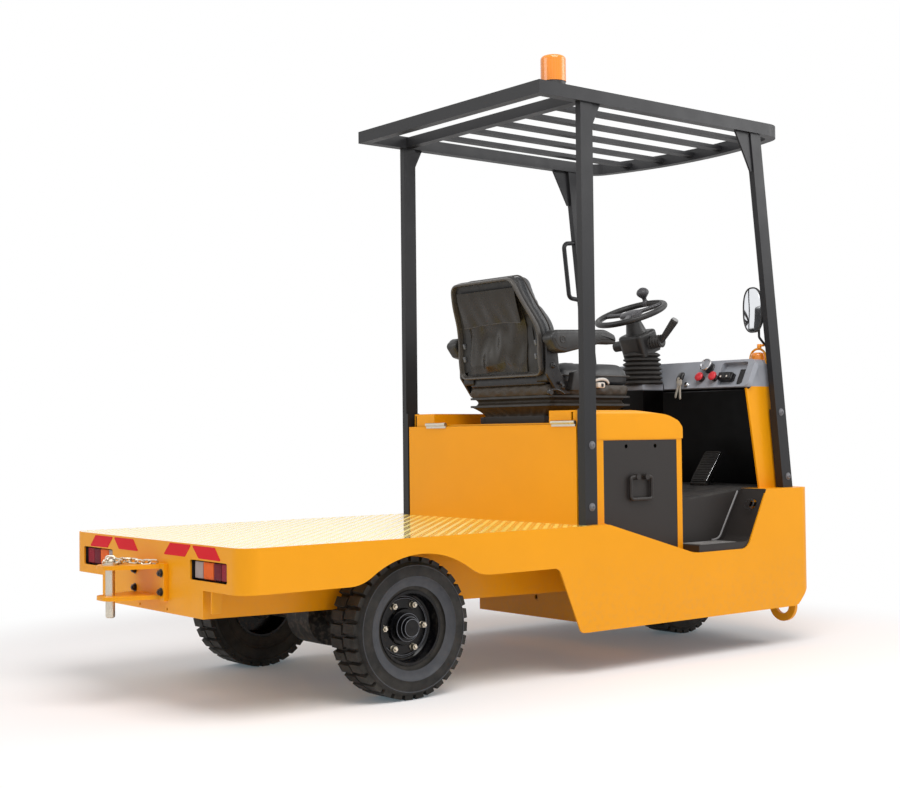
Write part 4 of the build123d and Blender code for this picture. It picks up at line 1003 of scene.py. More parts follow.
def wheelNuts(name, x, y, side, body, w):
    # Plated nuts with cone seats at even angles on the bolt circle.
    nut = joined(lathe(w["cone"], 24), stacked(w["nut"], 2.0, 6), lathe(w["stud"], 16))
    turn = np.arange(w["nuts"]) * 2 * np.pi / w["nuts"]
    ahead, above = w["boltCircle"] * np.cos(turn), w["boltCircle"] * np.sin(turn)
    spots = np.stack([x + ahead, y + side * w["nutFrom"] + 0 * turn, w["axleZ"] + above], 1)
    addPiece(name, facing(nut, spots, (0, side, 0)), "zincSteel", body)


def edgeLine(radius, height, thick=1.2):
    # A thin round bead of that radius about z.
    q = np.linspace(0, 2 * np.pi, 8, endpoint=False)
    return lathe(list(zip(radius + thick * np.cos(q), height + thick * np.sin(q))), 120, True)


def wheelTrim(label, side, body, w):
    # The sidewall's raised band, the dish inside it with two bead lines in a paler blue-grey rubber that is
    # painted sheen, and the rim's edges as pale lines that are painted highlights.
    spot, out = (0, side * w["rearY"], w["axleZ"]), (0, side, 0)
    band = facing(lathe(w["band"], 120, True), spot, out)
    addPiece("tyre_flank_" + label, band, "tyreFlank", body, 30)
    dish = joined(lathe(w["dish"], 120, True), *[edgeLine(*bead) for bead in w["beads"]])
    addPiece("tyre_dish_" + label, facing(dish, spot, out), "tyreDishPaintedSheen", body, 30)
    edges = joined(*[edgeLine(*edge) for edge in w["edges"]])
    addPiece("rim_edge_highlights_" + label, facing(edges, spot, out), "latchGreyAndRimHighlight", body, 60)


wheelTrim("right", -1, "rear_wheel_right", wheels)
wheelTrim("left", 1, "rear_wheel_left", wheels)
wheelNuts("wheel_nuts_right", 0, -wheels["rearY"], -1, "rear_wheel_right", wheels)
wheelNuts("wheel_nuts_left", 0, wheels["rearY"], 1, "rear_wheel_left", wheels)
wheelNuts("wheel_nuts_front", wheels["frontX"], 0, 1, "front_wheel", wheels)


# bolts of the canopy posts

bolts = {
    "places": [(807, 818), (803, 595), (1879, 939), (1917, 677)], "y": 544.8,
    "head": [(0, 0), (15, 0), (15, 1.5), (12, 1.8), (11.5, 4), (9.5, 6.5), (6, 8.2), (3, 8.6), (3, 6),
             (0, 6)],
}


def postBolts(b):
    # A domed head with a socket at each place, facing outwards on both sides.
    head = lathe(b["head"], 28)
    forms = [facing(head, (x, side * b["y"], z), (0, side, 0)) for x, z in b["places"] for side in (1, -1)]
    addPiece("post_bolts", joined(*forms), "boltGrey", "chassis")


postBolts(bolts)
print("wheel trim and bolts placed")


# seat: cushion, back, shell with rim and pouch, skirt and boot under the pan, armrests and belt

seat = {
    "backFoot": (842.0, 1082.0), "lean": 15.0, "lowHalf": 242.0, "topHalf": 182.0, "bend": 185.0,
    "high": 390.0, "bowLeast": 12.0, "bowMore": 30.0, "bowAt": 1262.0, "bowReach": 95.0,
    "soft": {"cell": 0.0065, "pressure": 4.0, "cap": 0.012, "steps": 20},
    "piping": 3.2, "seam": 4.0, "seamWidth": 4.5, "footRadius": 30.0, "bendRadius": 200.0, "topRadius": 45.0,
}
backOut = np.array([math.cos(math.radians(seat["lean"])), 0, math.sin(math.radians(seat["lean"]))])
backUp = np.array([-backOut[2], 0, backOut[0]])
backSpot = np.array([seat["backFoot"][0], 0, seat["backFoot"][1]])


def bentBy(z):
    # How far forward the back bows at a height: bowLeast + bowMore bell(z - bowAt), so that its lower half
    # stands upright and its upper half leans.
    return seat["bowLeast"] + seat["bowMore"] * bell(z - seat["bowAt"], seat["bowReach"])


def layOnBack(form):
    # A form whose x runs across the back, y up it and z out of it, laid on the back and bowed with it.
    points, faces = copies(form, backSpot, (0, 1, 0), backUp)
    points[:, 0] += bentBy(points[:, 2])
    return points, faces


def onBack(across, up, out):
    # Places in the back's own frame, bowed forward with it.
    across, up, out = (np.asarray(value, float)[..., None] for value in (across, up, out))
    spots = backSpot + across * np.array([0, 1, 0]) + up * backUp + out * backOut
    return spots + bentBy(spots[..., 2:]) * np.array([1, 0, 0])


def backOutline(s, grow):
    # The shell's outline in (across, up), larger by grow.
    low, top, bend, high = s["lowHalf"] + grow, s["topHalf"] + grow, s["bend"], s["high"] + grow
    foot, side, crown = s["footRadius"], s["bendRadius"], s["topRadius"]
    return outlined([(-low, -grow, foot), (low, -grow, foot), (low, bend, side), (top, high, crown),
                     (-top, high, crown), (-low, bend, side)], 160)


cushion = {
    "rear": (944, -236), "front": (1356, 236), "radii": (30, 60, 60, 30), "points": 96, "low": 1050.5,
    "levels": [(60, 0), (10, 0), (3, 8), (0, 20), (0, 34), (4, 46), (13, 56), (28, 63), (56, 68), (110, 70)],
    "middle": (1143, 0, 0), "shrink": (0.3, 0.3, 1), "pipingAt": 36.0, "topFrom": 30.0, "topOver": 25.0,
    "bolster": 8.0, "bolsterAt": 195.0, "bolsterReach": 30.0,
    "dish": 5.0, "dishAt": 1090.0, "dishAlong": 120.0, "dishAcross": 130.0,
    "channels": (1040, 1130, 1220), "channelHalf": 160.0, "channelRear": 975.0, "channelFront": 1300.0,
}


def seatCushion(s, c):
    # The pan's outline in plan, carried up through a low wall, a rounded shoulder and a domed top.
    plan = rectangle(c["rear"], c["front"], c["radii"], c["points"])
    form = moved(cushioned(plan, c["levels"], c["middle"], c["shrink"]), (0, 0, c["low"]))
    piece = addPiece("seat_cushion_pad", form, "seatVinyl", "seat_lid", 60, True)
    swell(piece, s["soft"])

    def shape(p):
        # z + top (two bell-shaped bolsters - a bell-shaped dish - sewn channels), no lower than the pan.
        x, aside = p[:, 0], np.abs(p[:, 1])
        top = np.clip((p[:, 2] - c["low"] - c["topFrom"]) / c["topOver"], 0, 1)
        domes = c["bolster"] * bell(aside - c["bolsterAt"], c["bolsterReach"])
        domes -= c["dish"] * bell(aside, c["dishAcross"]) * bell(x - c["dishAt"], c["dishAlong"])
        rows = sum(bell(x - row, s["seamWidth"]) for row in c["channels"]) * (aside < c["channelHalf"] - 2)
        sewn = (x > c["channelRear"]) * (x < c["channelFront"])
        sides = bell(aside - c["channelHalf"], s["seamWidth"]) * sewn
        p[:, 2] += top * (domes - s["seam"] * np.clip(rows + sides, 0, 1))
        p[:, 2] = np.maximum(p[:, 2], c["low"])
        return p

    pressed(piece, shape)
    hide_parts("seat_cushion")
    cord = ringAt(insetOutline(plan, 0.5), c["low"] + c["pipingAt"])
    addPiece("seat_cushion_piping", tube(cord, s["piping"], (0, 0, 1), 8, True), "pipingVinyl",
             "seat_lid")


backPad = {
    "grow": -9.0, "rise": 5.0, "from": 24.5, "middle": (0, 205, 0), "shrink": (0.3, 0.4, 1),
    "levels": [(60, 0), (4, 0), (0, 6), (0, 28), (3, 40), (10, 52), (22, 62), (40, 68), (66, 72), (100, 74)],
    "halves": ([0, 185, 390], [242, 236, 182]),  # heights up the back and its half widths there
    "pipingAt": 34.0, "frontFrom": 35.0, "frontOver": 30.0,
    "bolster": 8.0, "bolsterIn": 48.0, "bolsterReach": 26.0,
    "lumbar": 7.0, "lumbarAt": 140.0, "lumbarUp": 70.0, "lumbarAcross": 130.0,
    "channels": (95, 185, 275), "channelIn": 80.0, "rowIn": 84.0, "channelLow": 45.0, "channelHigh": 335.0,
}


def seatBack(s, b):
    # The shell's outline carried forward, its front edge rounded and the front domed.
    path = backOutline(s, b["grow"]) + (0, b["rise"])
    form = moved(cushioned(path, b["levels"], b["middle"], b["shrink"]), (0, 0, b["from"]))
    piece = addPiece("seat_back_padding", layOnBack(form), "seatVinyl", "seat_lid", 60, True)
    swell(piece, s["soft"])

    def shape(p):
        # Outwards by front (two bolsters + a lumbar swell - sewn channels), no further in than the shell.
        own = p - backSpot - np.outer(bentBy(p[:, 2]), (1, 0, 0))
        aside, up, out = np.abs(own[:, 1]), own @ backUp, own @ backOut
        front = np.clip((out - b["from"] - b["frontFrom"]) / b["frontOver"], 0, 1)
        width = np.interp(up, *b["halves"])
        domes = b["bolster"] * bell(aside - width + b["bolsterIn"], b["bolsterReach"])
        domes += b["lumbar"] * bell(up - b["lumbarAt"], b["lumbarUp"]) * bell(aside, b["lumbarAcross"])
        rows = sum(bell(up - row, s["seamWidth"]) for row in b["channels"]) * (aside < width - b["rowIn"])
        sewn = (up > b["channelLow"]) * (up < b["channelHigh"])
        sides = bell(aside - width + b["channelIn"], s["seamWidth"]) * sewn
        move = front * (domes - s["seam"] * np.clip(rows + sides, 0, 1))
        held = np.maximum(out + move, b["from"]) - out
        return p + held[:, None] * backOut

    pressed(piece, shape)
    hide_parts("seat_back_pad")
    cord = onBack(*insetOutline(path, 1).T, b["from"] + b["pipingAt"])
    addPiece("seat_back_piping", tube(cord, s["piping"], backOut, 8, True), "pipingVinyl",
             "seat_lid")


shell = {
    "levels": [(200, 0.6), (120, 0.6), (60, 0.6), (8, 0.6), (2.5, 1.2), (0, 4), (0, 20), (4, 24), (60, 24),
               (120, 24), (200, 24)],
    "ear": [(852, 1058, 10), (902, 1058, 10), (884, 1212, 10), (852, 1212, 10)], "earY": -188.0,
    "earAhead": 8.0, "earThick": 62.0, "earEdge": 3.0, "rim": 4.8, "rimProud": 16.0, "rimInset": 1.0,
    "rimWall": 4.0,
}


def backShell(s, h):
    # The shell itself, a bowed plate whose rear edge is rounded, with an ear on each side.
    plain = layOnBack(levelled(backOutline(s, 0), h["levels"]))
    ear = plate(outlined(h["ear"], 80), h["earThick"], h["earEdge"])
    ear = copies(ear, (h["earAhead"], h["earY"], 0), *onSide)
    shell = addPiece("seat_back_plate", joined(plain, ear, mirrored(ear)), "shellBlack",
                     "seat_lid", 50, True)
    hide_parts("seat_back_shell")


def shellRim(s, h):
    # A rolled rim round the shell's rear face: out and over its crest, then down an inner wall to the face,
    # its vinyl painted paler than the shell as a painted highlight.
    bend = [(math.cos(q), math.sin(q)) for q in np.linspace(0, np.pi, 9)]
    crest = [(h["rim"] * (1 - c), -h["rimProud"] + h["rim"] * (1 - d)) for c, d in bend]
    inner = [(2 * h["rim"] + h["rimWall"], 1)]
    rim = levelled(backOutline(s, -h["rimInset"]), [(0, 1)] + crest + inner, True)
    addPiece("seat_back_rim", layOnBack(rim), "rimVinylHighlight", "seat_lid", 50)


pouch = {
    "columns": 61, "rows": 57, "halves": (156.0, 184.0), "lean": 30.0,  # half widths at the foot
    "foot": 22.0, "mouth": 338.0, "least": 1.5, "start": 4.0, "bulge": 11.0, "foldShare": 0.8,
    "folds": [(8, 4, 8, 0), (5, 8, -9, 1), (2.5, 15, 6, 2)],  # waves across u and v
    "flapWider": 2.0, "flapHem": 219.0, "flapTop": 350.0, "flapLift": 22.0, "flapSink": 9.0, "flapThick": 2.4,
    "footWave": 3.0, "hemWave": 4.0,
    "ripples": [(3.6, 7, 4, 0), (2.0, 15, -6, 0)], "hemCord": 2.0,
}


def pouchPoints(p, u, v, height, depth, wider=0.0):
    # Points behind the shell: x = u times the half width, which leans over to one side by lean v.
    left, right = p["halves"]
    half = np.where(u < 0, left + wider + p["lean"] * v, right + wider - p["lean"] * v)
    return np.stack([u * half, height, -depth], -1).reshape(-1, 3)


def pocket(p):
    # A pouch with soft hanging folds: depth = start + bulge fade (1 - v^6) + foldShare fade folds (1 - 0.6 v),
    # and never under least. Here v runs from the foot to the mouth, and fade falls to 0 at the foot and, as
    # 1 - |u|^8, at the sides.
    u, v = np.meshgrid(np.linspace(-1, 1, p["columns"]), np.linspace(0, 1, p["rows"]), indexing="ij")
    fade = (1 - np.abs(u) ** 8) * np.clip(v * 9, 0, 1)
    folds = p["foldShare"] * waves(u, v, p["folds"]) * fade * (1 - 0.6 * v)
    depth = np.maximum(p["least"], p["start"] + p["bulge"] * fade * (1 - v ** 6) + folds)
    foot = p["foot"] + p["footWave"] * np.cos(3 * u)
    front = pouchPoints(p, u, v, foot + v * (p["mouth"] - foot), depth)
    body = addPiece("seat_back_pocket", layOnBack(walled(front, front * (1, 1, 0), *u.shape)), "pouchCloth",
                    "seat_lid", 50)


def pocketFlap(p):
    # The slack layer over the pouch: lift = flapLift - flapSink w² + 2 ripples (1 - v), where w runs from the
    # hem to the top and v = (1 + w) / 2, with a cord along the hem.
    u, w = np.meshgrid(np.linspace(-1, 1, p["columns"]), np.linspace(0, 1, p["rows"]), indexing="ij")
    v = 0.5 + 0.5 * w
    lift = p["flapLift"] - p["flapSink"] * w ** 2 + waves(u, v, p["ripples"]) * (1 - v) * 2
    hem = p["flapHem"] + p["hemWave"] * np.cos(2.5 * u + 0.6)
    outer = pouchPoints(p, u, v, hem + w * (p["flapTop"] - hem), lift + p["flapThick"] / 2, p["flapWider"])
    inner = outer + (0, 0, p["flapThick"])
    flap = addPiece("seat_pocket_flap", layOnBack(walled(outer, inner, *u.shape)), "pouchCloth",
                    "seat_lid", 50)
    edge = onBack(*outer.reshape(*u.shape, 3)[:, 0].T)
    cord = tube(edge, p["hemCord"], (0, 0, 1), 8)
    addPiece("seat_pocket_hem", cord, "pipingVinyl", "seat_lid")


skirt = {
    "rear": (884, -238), "front": (1312, 238), "radius": 26.0, "points": 260, "low": 1008.5, "high": 1049.5,
    "start": 1.5, "bulge": 6.0, "thick": 0.8, "folds": [(1.6, 19, 3, 0), (1.2, 31, -5, 1), (0.8, 53, 9, 0)],
    "rearCover": ((868, -222), (960, 222), (20, 5, 5, 20)), "coverLow": 1049.0, "coverDepth": 38.0,
    "coverEdge": 6.0,
}


def panSkirt(s):
    # A band round the pan, out by start + (bulge + folds) sin(pi v)^0.8 at the share v of its height, and a
    # plain cover behind the pan.
    path = rectangle(s["rear"], s["front"], s["radius"], s["points"])
    outwards = insetOutline(path, -1) - path
    run = np.arange(s["points"]) / s["points"] * 2 * np.pi
    rings = []
    for v in np.linspace(0, 1, 9):
        out = s["start"] + (s["bulge"] + waves(run, v, s["folds"])) * math.sin(math.pi * v) ** 0.8
        rings.append(ringAt(path + outwards * out[:, None], s["low"] + (s["high"] - s["low"]) * v))
    rings += [ringAt(insetOutline(path, s["thick"]), z) for z in (s["high"], s["low"])]
    piece = addPiece("seat_pan_skirt", ringed(rings, True), "skirtCloth", "seat_lid", 50)
    cover = plate(rectangle(*s["rearCover"], 120), s["coverDepth"], s["coverEdge"])
    cover = moved(cover, (0, 0, s["coverLow"]))
    addPiece("seat_pan_rear", cover, "nutBlack", "seat_lid", 40, True)


boot = {
    "wide": ((888, -244), (1312, 244), 30), "narrow": ((915, -192), (1262, 192), 20), "points": 240,
    "top": 967.5, "drop": 37.0, "pleats": [(1.5, 41, 0, 0), (1.2, 23, 0, 1)],
    "waist": ((896, -236), (1308, 236), 30), "waistLow": 976.0, "waistHigh": 1000.0, "waistIn": 10.0,
}


def suspensionBoot(b):
    # The flared boot under the lower flange: from the wide outline to the narrow one as 1 - (1 - v)^1.6, with
    # pleats that fade as 4 v (1 - v), and above it a waist drawn in by waistIn sin(pi v).
    wide, narrow, between = (rectangle(*b[key], b["points"]) for key in ("wide", "narrow", "waist"))
    pleats = waves(np.arange(b["points"]) / b["points"] * 2 * np.pi, 0, b["pleats"])
    rings = []
    for v in np.linspace(0, 1, 12):
        side = narrow + (wide - narrow) * (1 - v) ** 1.6
        out = (pleats * 4 * v * (1 - v))[:, None]
        rings.append(ringAt(side + (insetOutline(side, -1) - side) * out, b["top"] - b["drop"] * v))
    waist = [ringAt(insetOutline(between, b["waistIn"] * math.sin(math.pi * v)),
                    b["waistLow"] + (b["waistHigh"] - b["waistLow"]) * v) for v in np.linspace(0, 1, 7)]
    piece = addPiece("seat_suspension_boot", joined(ringed(rings), ringed(waist)), "skirtCloth",
                     "seat_lid", 50, True)


rails = {
    "plans": [((898, -195), (1268, -161)), ((898, 161), (1268, 195))], "low": 903.0, "depth": 26.0,
    "bar": ((899, -194), (914, 194)), "barLow": 904.0, "barDepth": 24.0, "radius": 3.0, "edge": 2.0,
}


def slideRails(r):
    # Two rails along X under the boot and a bar across their rear ends.
    forms = [moved(plate(rectangle(*plan, r["radius"], 60), r["depth"], r["edge"]), (0, 0, r["low"]))
             for plan in r["plans"]]
    bar = plate(rectangle(*r["bar"], r["radius"], 60), r["barDepth"], r["edge"])
    forms.append(moved(bar, (0, 0, r["barLow"])))
    addPiece("seat_slide_rails", joined(*forms), "chassisBlack", "seat_lid", 40, True)


arm = {
    "outline": [(816, 1222, 18), (848, 1252, 26), (1112, 1262, 60), (1172, 1240, 24), (1168, 1206, 14),
                (1088, 1206, 34), (1012, 1190, 60), (895, 1165, 30), (854, 1174, 20)],
    "y": -262.0, "thick": 56.0, "edge": 12.0,
    "panelInset": 15.0, "panelY": -312.0, "panelThick": 8.0, "panelEdge": 2.5,
    "boss": [(15, 0), (15, 3), (12, 4.5), (10, 3), (8, 2.5), (3, 2.5), (3, 4), (0, 4)],
    "bossSpot": (880, -318, 1216),
    "bracket": [(850, 1088, 12), (906, 1014, 8), (972, 1014, 8), (958, 1052, 20), (916, 1100, 24),
                (903, 1217, 10), (849, 1217, 10)],
    "bracketY": -250.2, "bracketThick": 12.0, "foot": ((906, 1012), (968, 1045), 4), "footY": -226.0,
    "footThick": 36.0, "bracketEdge": 2.0, "bolts": [(880, -262, 1120), (930, -262, 1040)],
}


def armrests(a):
    # Moulded arms with a raised panel and a boss on the outer face, on brackets that stand on the pan.
    path = outlined(a["outline"], 150)
    body = copies(plate(path, a["thick"], a["edge"]), (0, a["y"], 0), *onSide)
    panel = plate(insetOutline(path, a["panelInset"]), a["panelThick"], a["panelEdge"])
    boss = facing(lathe(a["boss"], 28), a["bossSpot"], (0, -1, 0))
    right = joined(body, copies(panel, (0, a["panelY"], 0), *onSide), boss)
    addPiece("armrest_pads", joined(right, mirrored(right)), "plasticBlack", "seat_lid",
             40, True)
    bracket = plate(outlined(a["bracket"], 110), a["bracketThick"], a["bracketEdge"])
    foot = plate(rectangle(*a["foot"], 60), a["footThick"], a["bracketEdge"])
    right = joined(copies(bracket, (0, a["bracketY"], 0), *onSide), copies(foot, (0, a["footY"], 0), *onSide),
                   facing(lathe(bolts["head"], 28), a["bolts"], (0, -1, 0)))
    brackets = addPiece("armrest_brackets", joined(right, mirrored(right)), "nutBlack",
                        "seat_lid", 35, True)
    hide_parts("armrests")


adjuster = {
    "handle": [(858, -266, 1022), (872, -272, 1030), (900, -276, 1026), (926, -276, 1012)], "handleWire": 4.5,
    "knuckle": [(0, 0), (13, 0), (13, 8), (10, 11), (0, 11)], "knuckleSpot": (862, -262, 1018),
    "pin": [(0, 0), (7, 0), (7, 14), (5, 16), (0, 16)], "pinSpot": (912, -262, 1052),
    "latch": (6, 11, 9, 3, 1, 5, 32), "latchOut": 0.5,
    "latches": [(-214, 78), (-214, 132), (214, 84), (214, 138)],  # across and up the back
}


def seatAdjusters(a):
    # The recliner's bent handle on its knuckle, a pivot pin, and four latches on the shell's rim.
    handle = tube(smoothPath(a["handle"]), a["handleWire"], (0, 1, 0), 12)
    knuckle = facing(lathe(a["knuckle"], 28), a["knuckleSpot"], (0, -1, 0))
    pin = facing(lathe(a["pin"], 20), a["pinSpot"], (0, -1, 0))
    addPiece("seat_adjusters", joined(handle, knuckle, pin), "nutBlack", "seat_lid")
    spots = onBack(*np.array(a["latches"]).T, a["latchOut"])
    latches = copies(pad(*a["latch"]), spots, (0, -1, 0), backUp)
    addPiece("seat_back_latches", latches, "latchGreyAndRimHighlight", "seat_lid")


belt = {
    "box": [(952, 1022, 6), (1006, 1022, 6), (1016, 1076, 8), (1000, 1106, 8), (966, 1096, 8)],
    "boxY": -258.0, "boxThick": 34.0, "boxEdge": 5.0,
    "strap": [(1092, -252, 1058), (1104, -262, 1067), (1134, -268, 1073), (1162, -268, 1070),
              (1184, -256, 1056)],
    "strapHalf": 5.5, "strapFlat": 0.4,
    "buckle": (20, 11, 16, 4, 1, 6), "buckleSpot": (1134, -252, 1048),
    "button": (6, 7, 3, 1.5, 0.5, 4, 24), "buttonSpot": (1136, -268, 1048),
}


def beltParts(b):
    # The belt's box, a flattened strap that arches over the cushion's side, and its buckle with a button.
    box = copies(plate(outlined(b["box"], 80), b["boxThick"], b["boxEdge"]), (0, b["boxY"], 0), *onSide)
    addPiece("belt_box", box, "plasticBlack", "seat_lid", 35, True)
    strap = tube(smoothPath(b["strap"], 10), b["strapHalf"], (0, 1, 0), 14, False, b["strapFlat"])
    addPiece("belt_strap", strap, "beltPale", "seat_lid", 50)
    buckle = copies(pad(*b["buckle"]), b["buckleSpot"], *onSide)
    addPiece("belt_buckle", buckle, "palePlastic", "seat_lid")
    button = copies(pad(*b["button"]), b["buttonSpot"], *onSide)
    addPiece("belt_button", button, "nutBlack", "seat_lid")


seatCushion(seat, cushion)
seatBack(seat, backPad)
backShell(seat, shell)
shellRim(seat, shell)
pocket(pouch)
pocketFlap(pouch)
panSkirt(skirt)
suspensionBoot(boot)
slideRails(rails)
armrests(arm)
seatAdjusters(adjuster)
beltParts(belt)
print("seat upholstered")


# operator's place: dash fittings, hand wheel, lever, mirror, pedals and steps

dash = {
    "spot": (1704.0, 0.0, 1044.0), "slope": (60.0, 0.0, 112.0),
    "gaugeAt": (286, 92), "buttonsAt": [(262, 42), (334, 42)], "lockAt": (190, 16),
    "block": (36, 17, 24, 2, 0, 12), "blockAt": (382, 52.5, -22),  # half sizes and so on, as pad takes them
    "slotFace": (19, 34, 5, 0.8, 0, 12), "slotAt": (456, 56.5, -22.5),
    "rocker": (15, 14, 7, 2, 0, 9), "rockersAt": [366, 398], "rockerUp": 52.5, "rockerOut": 1.5,
    "rockerTurn": 0.16, "mark": (4, 4, 1.2, 0.4, 0, 2, 20), "markUp": 46.0, "markOut": 8.4,
    "gauge": [(0, 0), (24, 0), (24, 3), (21.5, 5), (21.5, 20), (25, 22), (25, 30), (0, 30)],
    "bezel": [(22.5, 28), (25.6, 28), (28, 30), (28, 34), (26, 36.5), (23.5, 36), (22.5, 33)],
    "glass": [(0, 29), (22.6, 29), (22.6, 32.5), (17, 34), (9, 35), (0, 35.4)],
    "collar": [(0, 0), (15, 0), (15, 3), (11, 4), (9.5, 6), (9.5, 17), (12, 19), (0, 19)],
    "cap": [(0, 17), (14, 17), (18.5, 19), (20, 22), (19, 26), (15, 29), (8, 30.6), (0, 31)],
    "barrel": [(0, 0), (12, 0), (12, 3.5), (9.5, 5), (9.5, 10), (8, 11.5), (0, 11.5)],
}
dashRight = np.array([0.0, -1.0, 0.0])
dashUp = unit(dash["slope"])
dashOut = np.cross(dashRight, dashUp)


def dashPlace(across, up, out=0.0):
    # A place on the dash's sloped face, or out of it.
    return dash["spot"] + across * dashRight + up * dashUp + out * dashOut


def onDash(form, across, up, out=0.0):
    # A form set square on the dash's sloped face.
    return copies(form, dashPlace(across, up, out), dashRight, dashUp)


def dashSwitches(d):
    # The gauge's body, the push buttons' collars and caps, and the rockers with their marks in their bay.
    collars = [onDash(lathe(d["collar"], 32), *spot) for spot in d["buttonsAt"]]
    tilted = dashUp * math.cos(d["rockerTurn"]) + dashOut * math.sin(d["rockerTurn"])
    rockers = [copies(pad(*d["rocker"]), dashPlace(a, d["rockerUp"], d["rockerOut"]), dashRight, tilted)
               for a in d["rockersAt"]]
    black = joined(onDash(lathe(d["gauge"], 40), *d["gaugeAt"]), *collars,
                   onDash(pad(*d["block"]), *d["blockAt"]), *rockers,
                   onDash(pad(*d["slotFace"]), *d["slotAt"]))
    switches = addPiece("dash_switches", black, "nutBlack", "chassis")
    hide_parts("dash_controls")
    caps = [onDash(lathe(d["cap"], 36), *spot) for spot in d["buttonsAt"]]
    addPiece("dash_push_buttons", joined(*caps), "buttonRed", "chassis")
    marks = [onDash(pad(*d["mark"]), a, d["markUp"], d["markOut"]) for a in d["rockersAt"]]
    addPiece("rocker_marks", joined(*marks), "palePlastic", "chassis")


keys = {
    "ring": [(0, 9, 0), (6.4, 6.4, 0), (9, 0, 0), (6.4, -6.4, 0), (0, -9, 0), (-6.4, -6.4, 0), (-9, 0, 0),
             (-6.4, 6.4, 0)],
    "ringWire": 1.1, "ringAt": (172, 10, 27),
    "blade": [(-13, 26, 8), (-13, 0, 8), (-5, -5, 3), (-5, -52, 2), (0, -58, 1), (5, -52, 2), (5, -32, 0.8),
              (3, -30, 0.8), (5, -28, 0.8), (5, -5, 3), (13, 0, 8), (13, 26, 8)],
    "bladeSize": (1.25, 1.1), "thick": 3.0, "edge": 0.7, "forward": 0.25,
    "hanging": [((1690, -166, 1060), 0.02), ((1686, -162, 1062), -0.42)],  # place and lean
    "bow": [(-22, -10, 8), (22, -10, 8), (26, 28, 16), (-26, 28, 16)], "bowThick": 12.0, "bowEdge": 4.0,
    "bowAt": (168, 32, 22), "bowTurn": 0.4,
}


def dashKeys(d, k):
    # The gauge's bezel, the lock's barrel and the ring in it, the keys that hang and lean, the key's head in
    # the lock, and the gauge's glass.
    ring = tube(smoothPath(k["ring"], 5, True), k["ringWire"], (0, 0, 1), 8, True)
    bright = joined(onDash(lathe(d["bezel"], 44, True), *d["gaugeAt"]),
                    onDash(lathe(d["barrel"], 32), *d["lockAt"]), onDash(ring, *k["ringAt"]))
    addPiece("dash_bright_trim", bright, "chromeTrim", "chassis", 35, True)
    blade = plate(outlined(k["blade"], 90) * k["bladeSize"], k["thick"], k["edge"])
    upright = np.array([0, 0, 1.0])
    hanging = []
    for spot, lean in k["hanging"]:
        side = unit((k["forward"], math.cos(lean), 0))
        across = side * math.cos(lean) - upright * math.sin(lean)
        hanging.append(copies(blade, spot, across, upright * math.cos(lean) + side * math.sin(lean)))
    addPiece("hanging_keys", joined(*hanging), "keySteel", "chassis", 35, True)
    bow = plate(outlined(k["bow"], 60), k["bowThick"], k["bowEdge"])
    head = copies(bow, dashPlace(*k["bowAt"]), dashRight + k["bowTurn"] * dashOut, dashUp)
    addPiece("key_head", head, "nutBlack", "chassis", 35, True)
    glass = onDash(lathe(d["glass"], 40), *d["gaugeAt"])
    addPiece("gauge_glass", glass, "gaugeGlass", "chassis")


handle = {
    "tilt": 21.4, "spot": (1577.0, 0.0, 1365.0), "knobOut": 146.0, "knobTurn": 15.0,
    "knob": [(0, 20), (9, 22), (10, 26), (12, 29), (19, 36), (25, 43), (27.5, 50), (26, 58), (19, 67),
             (8, 72.6), (0, 73)],
    "foot": [(0, -10), (14, -10), (16, -4), (16, 4), (13, 12), (9.5, 16), (9, 24), (0, 24)],
    "hub": (44, 44, 17, 8, 6, 3.0), "hubDown": 10.0, "spokes": (90, 210, 330), "spokeFrom": 24.0,
    "spokeTo": 143.0, "spokeHalf": 17.0, "spokeWaist": 5.0, "spokeFlat": 0.42,
}


def handWheel(h):
    # Mushroom knob on the rim, a domed hub cover, and flattened spokes whose half width is
    # spokeHalf - spokeWaist sin(pi t).
    tilt = math.radians(h["tilt"])
    across, side = np.array([math.cos(tilt), 0, math.sin(tilt)]), np.array([0.0, 1.0, 0.0])
    square = np.cross(across, side)

    def outwards(angle):
        # The direction at that angle in the wheel's plane.
        return math.cos(math.radians(angle)) * across + math.sin(math.radians(angle)) * side

    knob = copies(joined(lathe(h["foot"], 32), lathe(h["knob"], 40)),
                  h["spot"] + h["knobOut"] * outwards(h["knobTurn"]), across, side)
    hub = copies(pad(*h["hub"]), h["spot"] - h["hubDown"] * square, across, side)
    share = np.linspace(0, 1, 14)
    run = h["spokeFrom"] + (h["spokeTo"] - h["spokeFrom"]) * share
    half = h["spokeHalf"] - h["spokeWaist"] * np.sin(np.pi * share)
    spokes = [tube(h["spot"] + np.outer(run, outwards(angle)), half, square, 16, False, h["spokeFlat"])
              for angle in h["spokes"]]
    addPiece("hand_wheel_trim", joined(knob, hub, *spokes), "wheelGrip", "hand_wheel", 50)


lever = {
    "bootFoot": (1640, -116, 1245.5), "bootTo": (1633, -66, 1242), "bootRadius": 24.5, "bootRib": 3.2,
    "bootRibs": 4, "bootFlare": 2.0, "bootLength": 54.0,
    "gripFoot": (1640, -112, 1244.0), "gripEnd": (1654, -180, 1330.0), "gripFrom": 26.0, "gripShort": 30.0,
    "gripRadius": 13.5, "gripFlare": 3.5, "groove": 1.3, "grooves": 9, "grooveWhere": 0.55, "endRadius": 15.0,
    "cap": [(0, -2), (15, -2), (15.5, 1), (13, 5), (7, 7), (0, 7.5)],  # radius, height over the grip's end
}


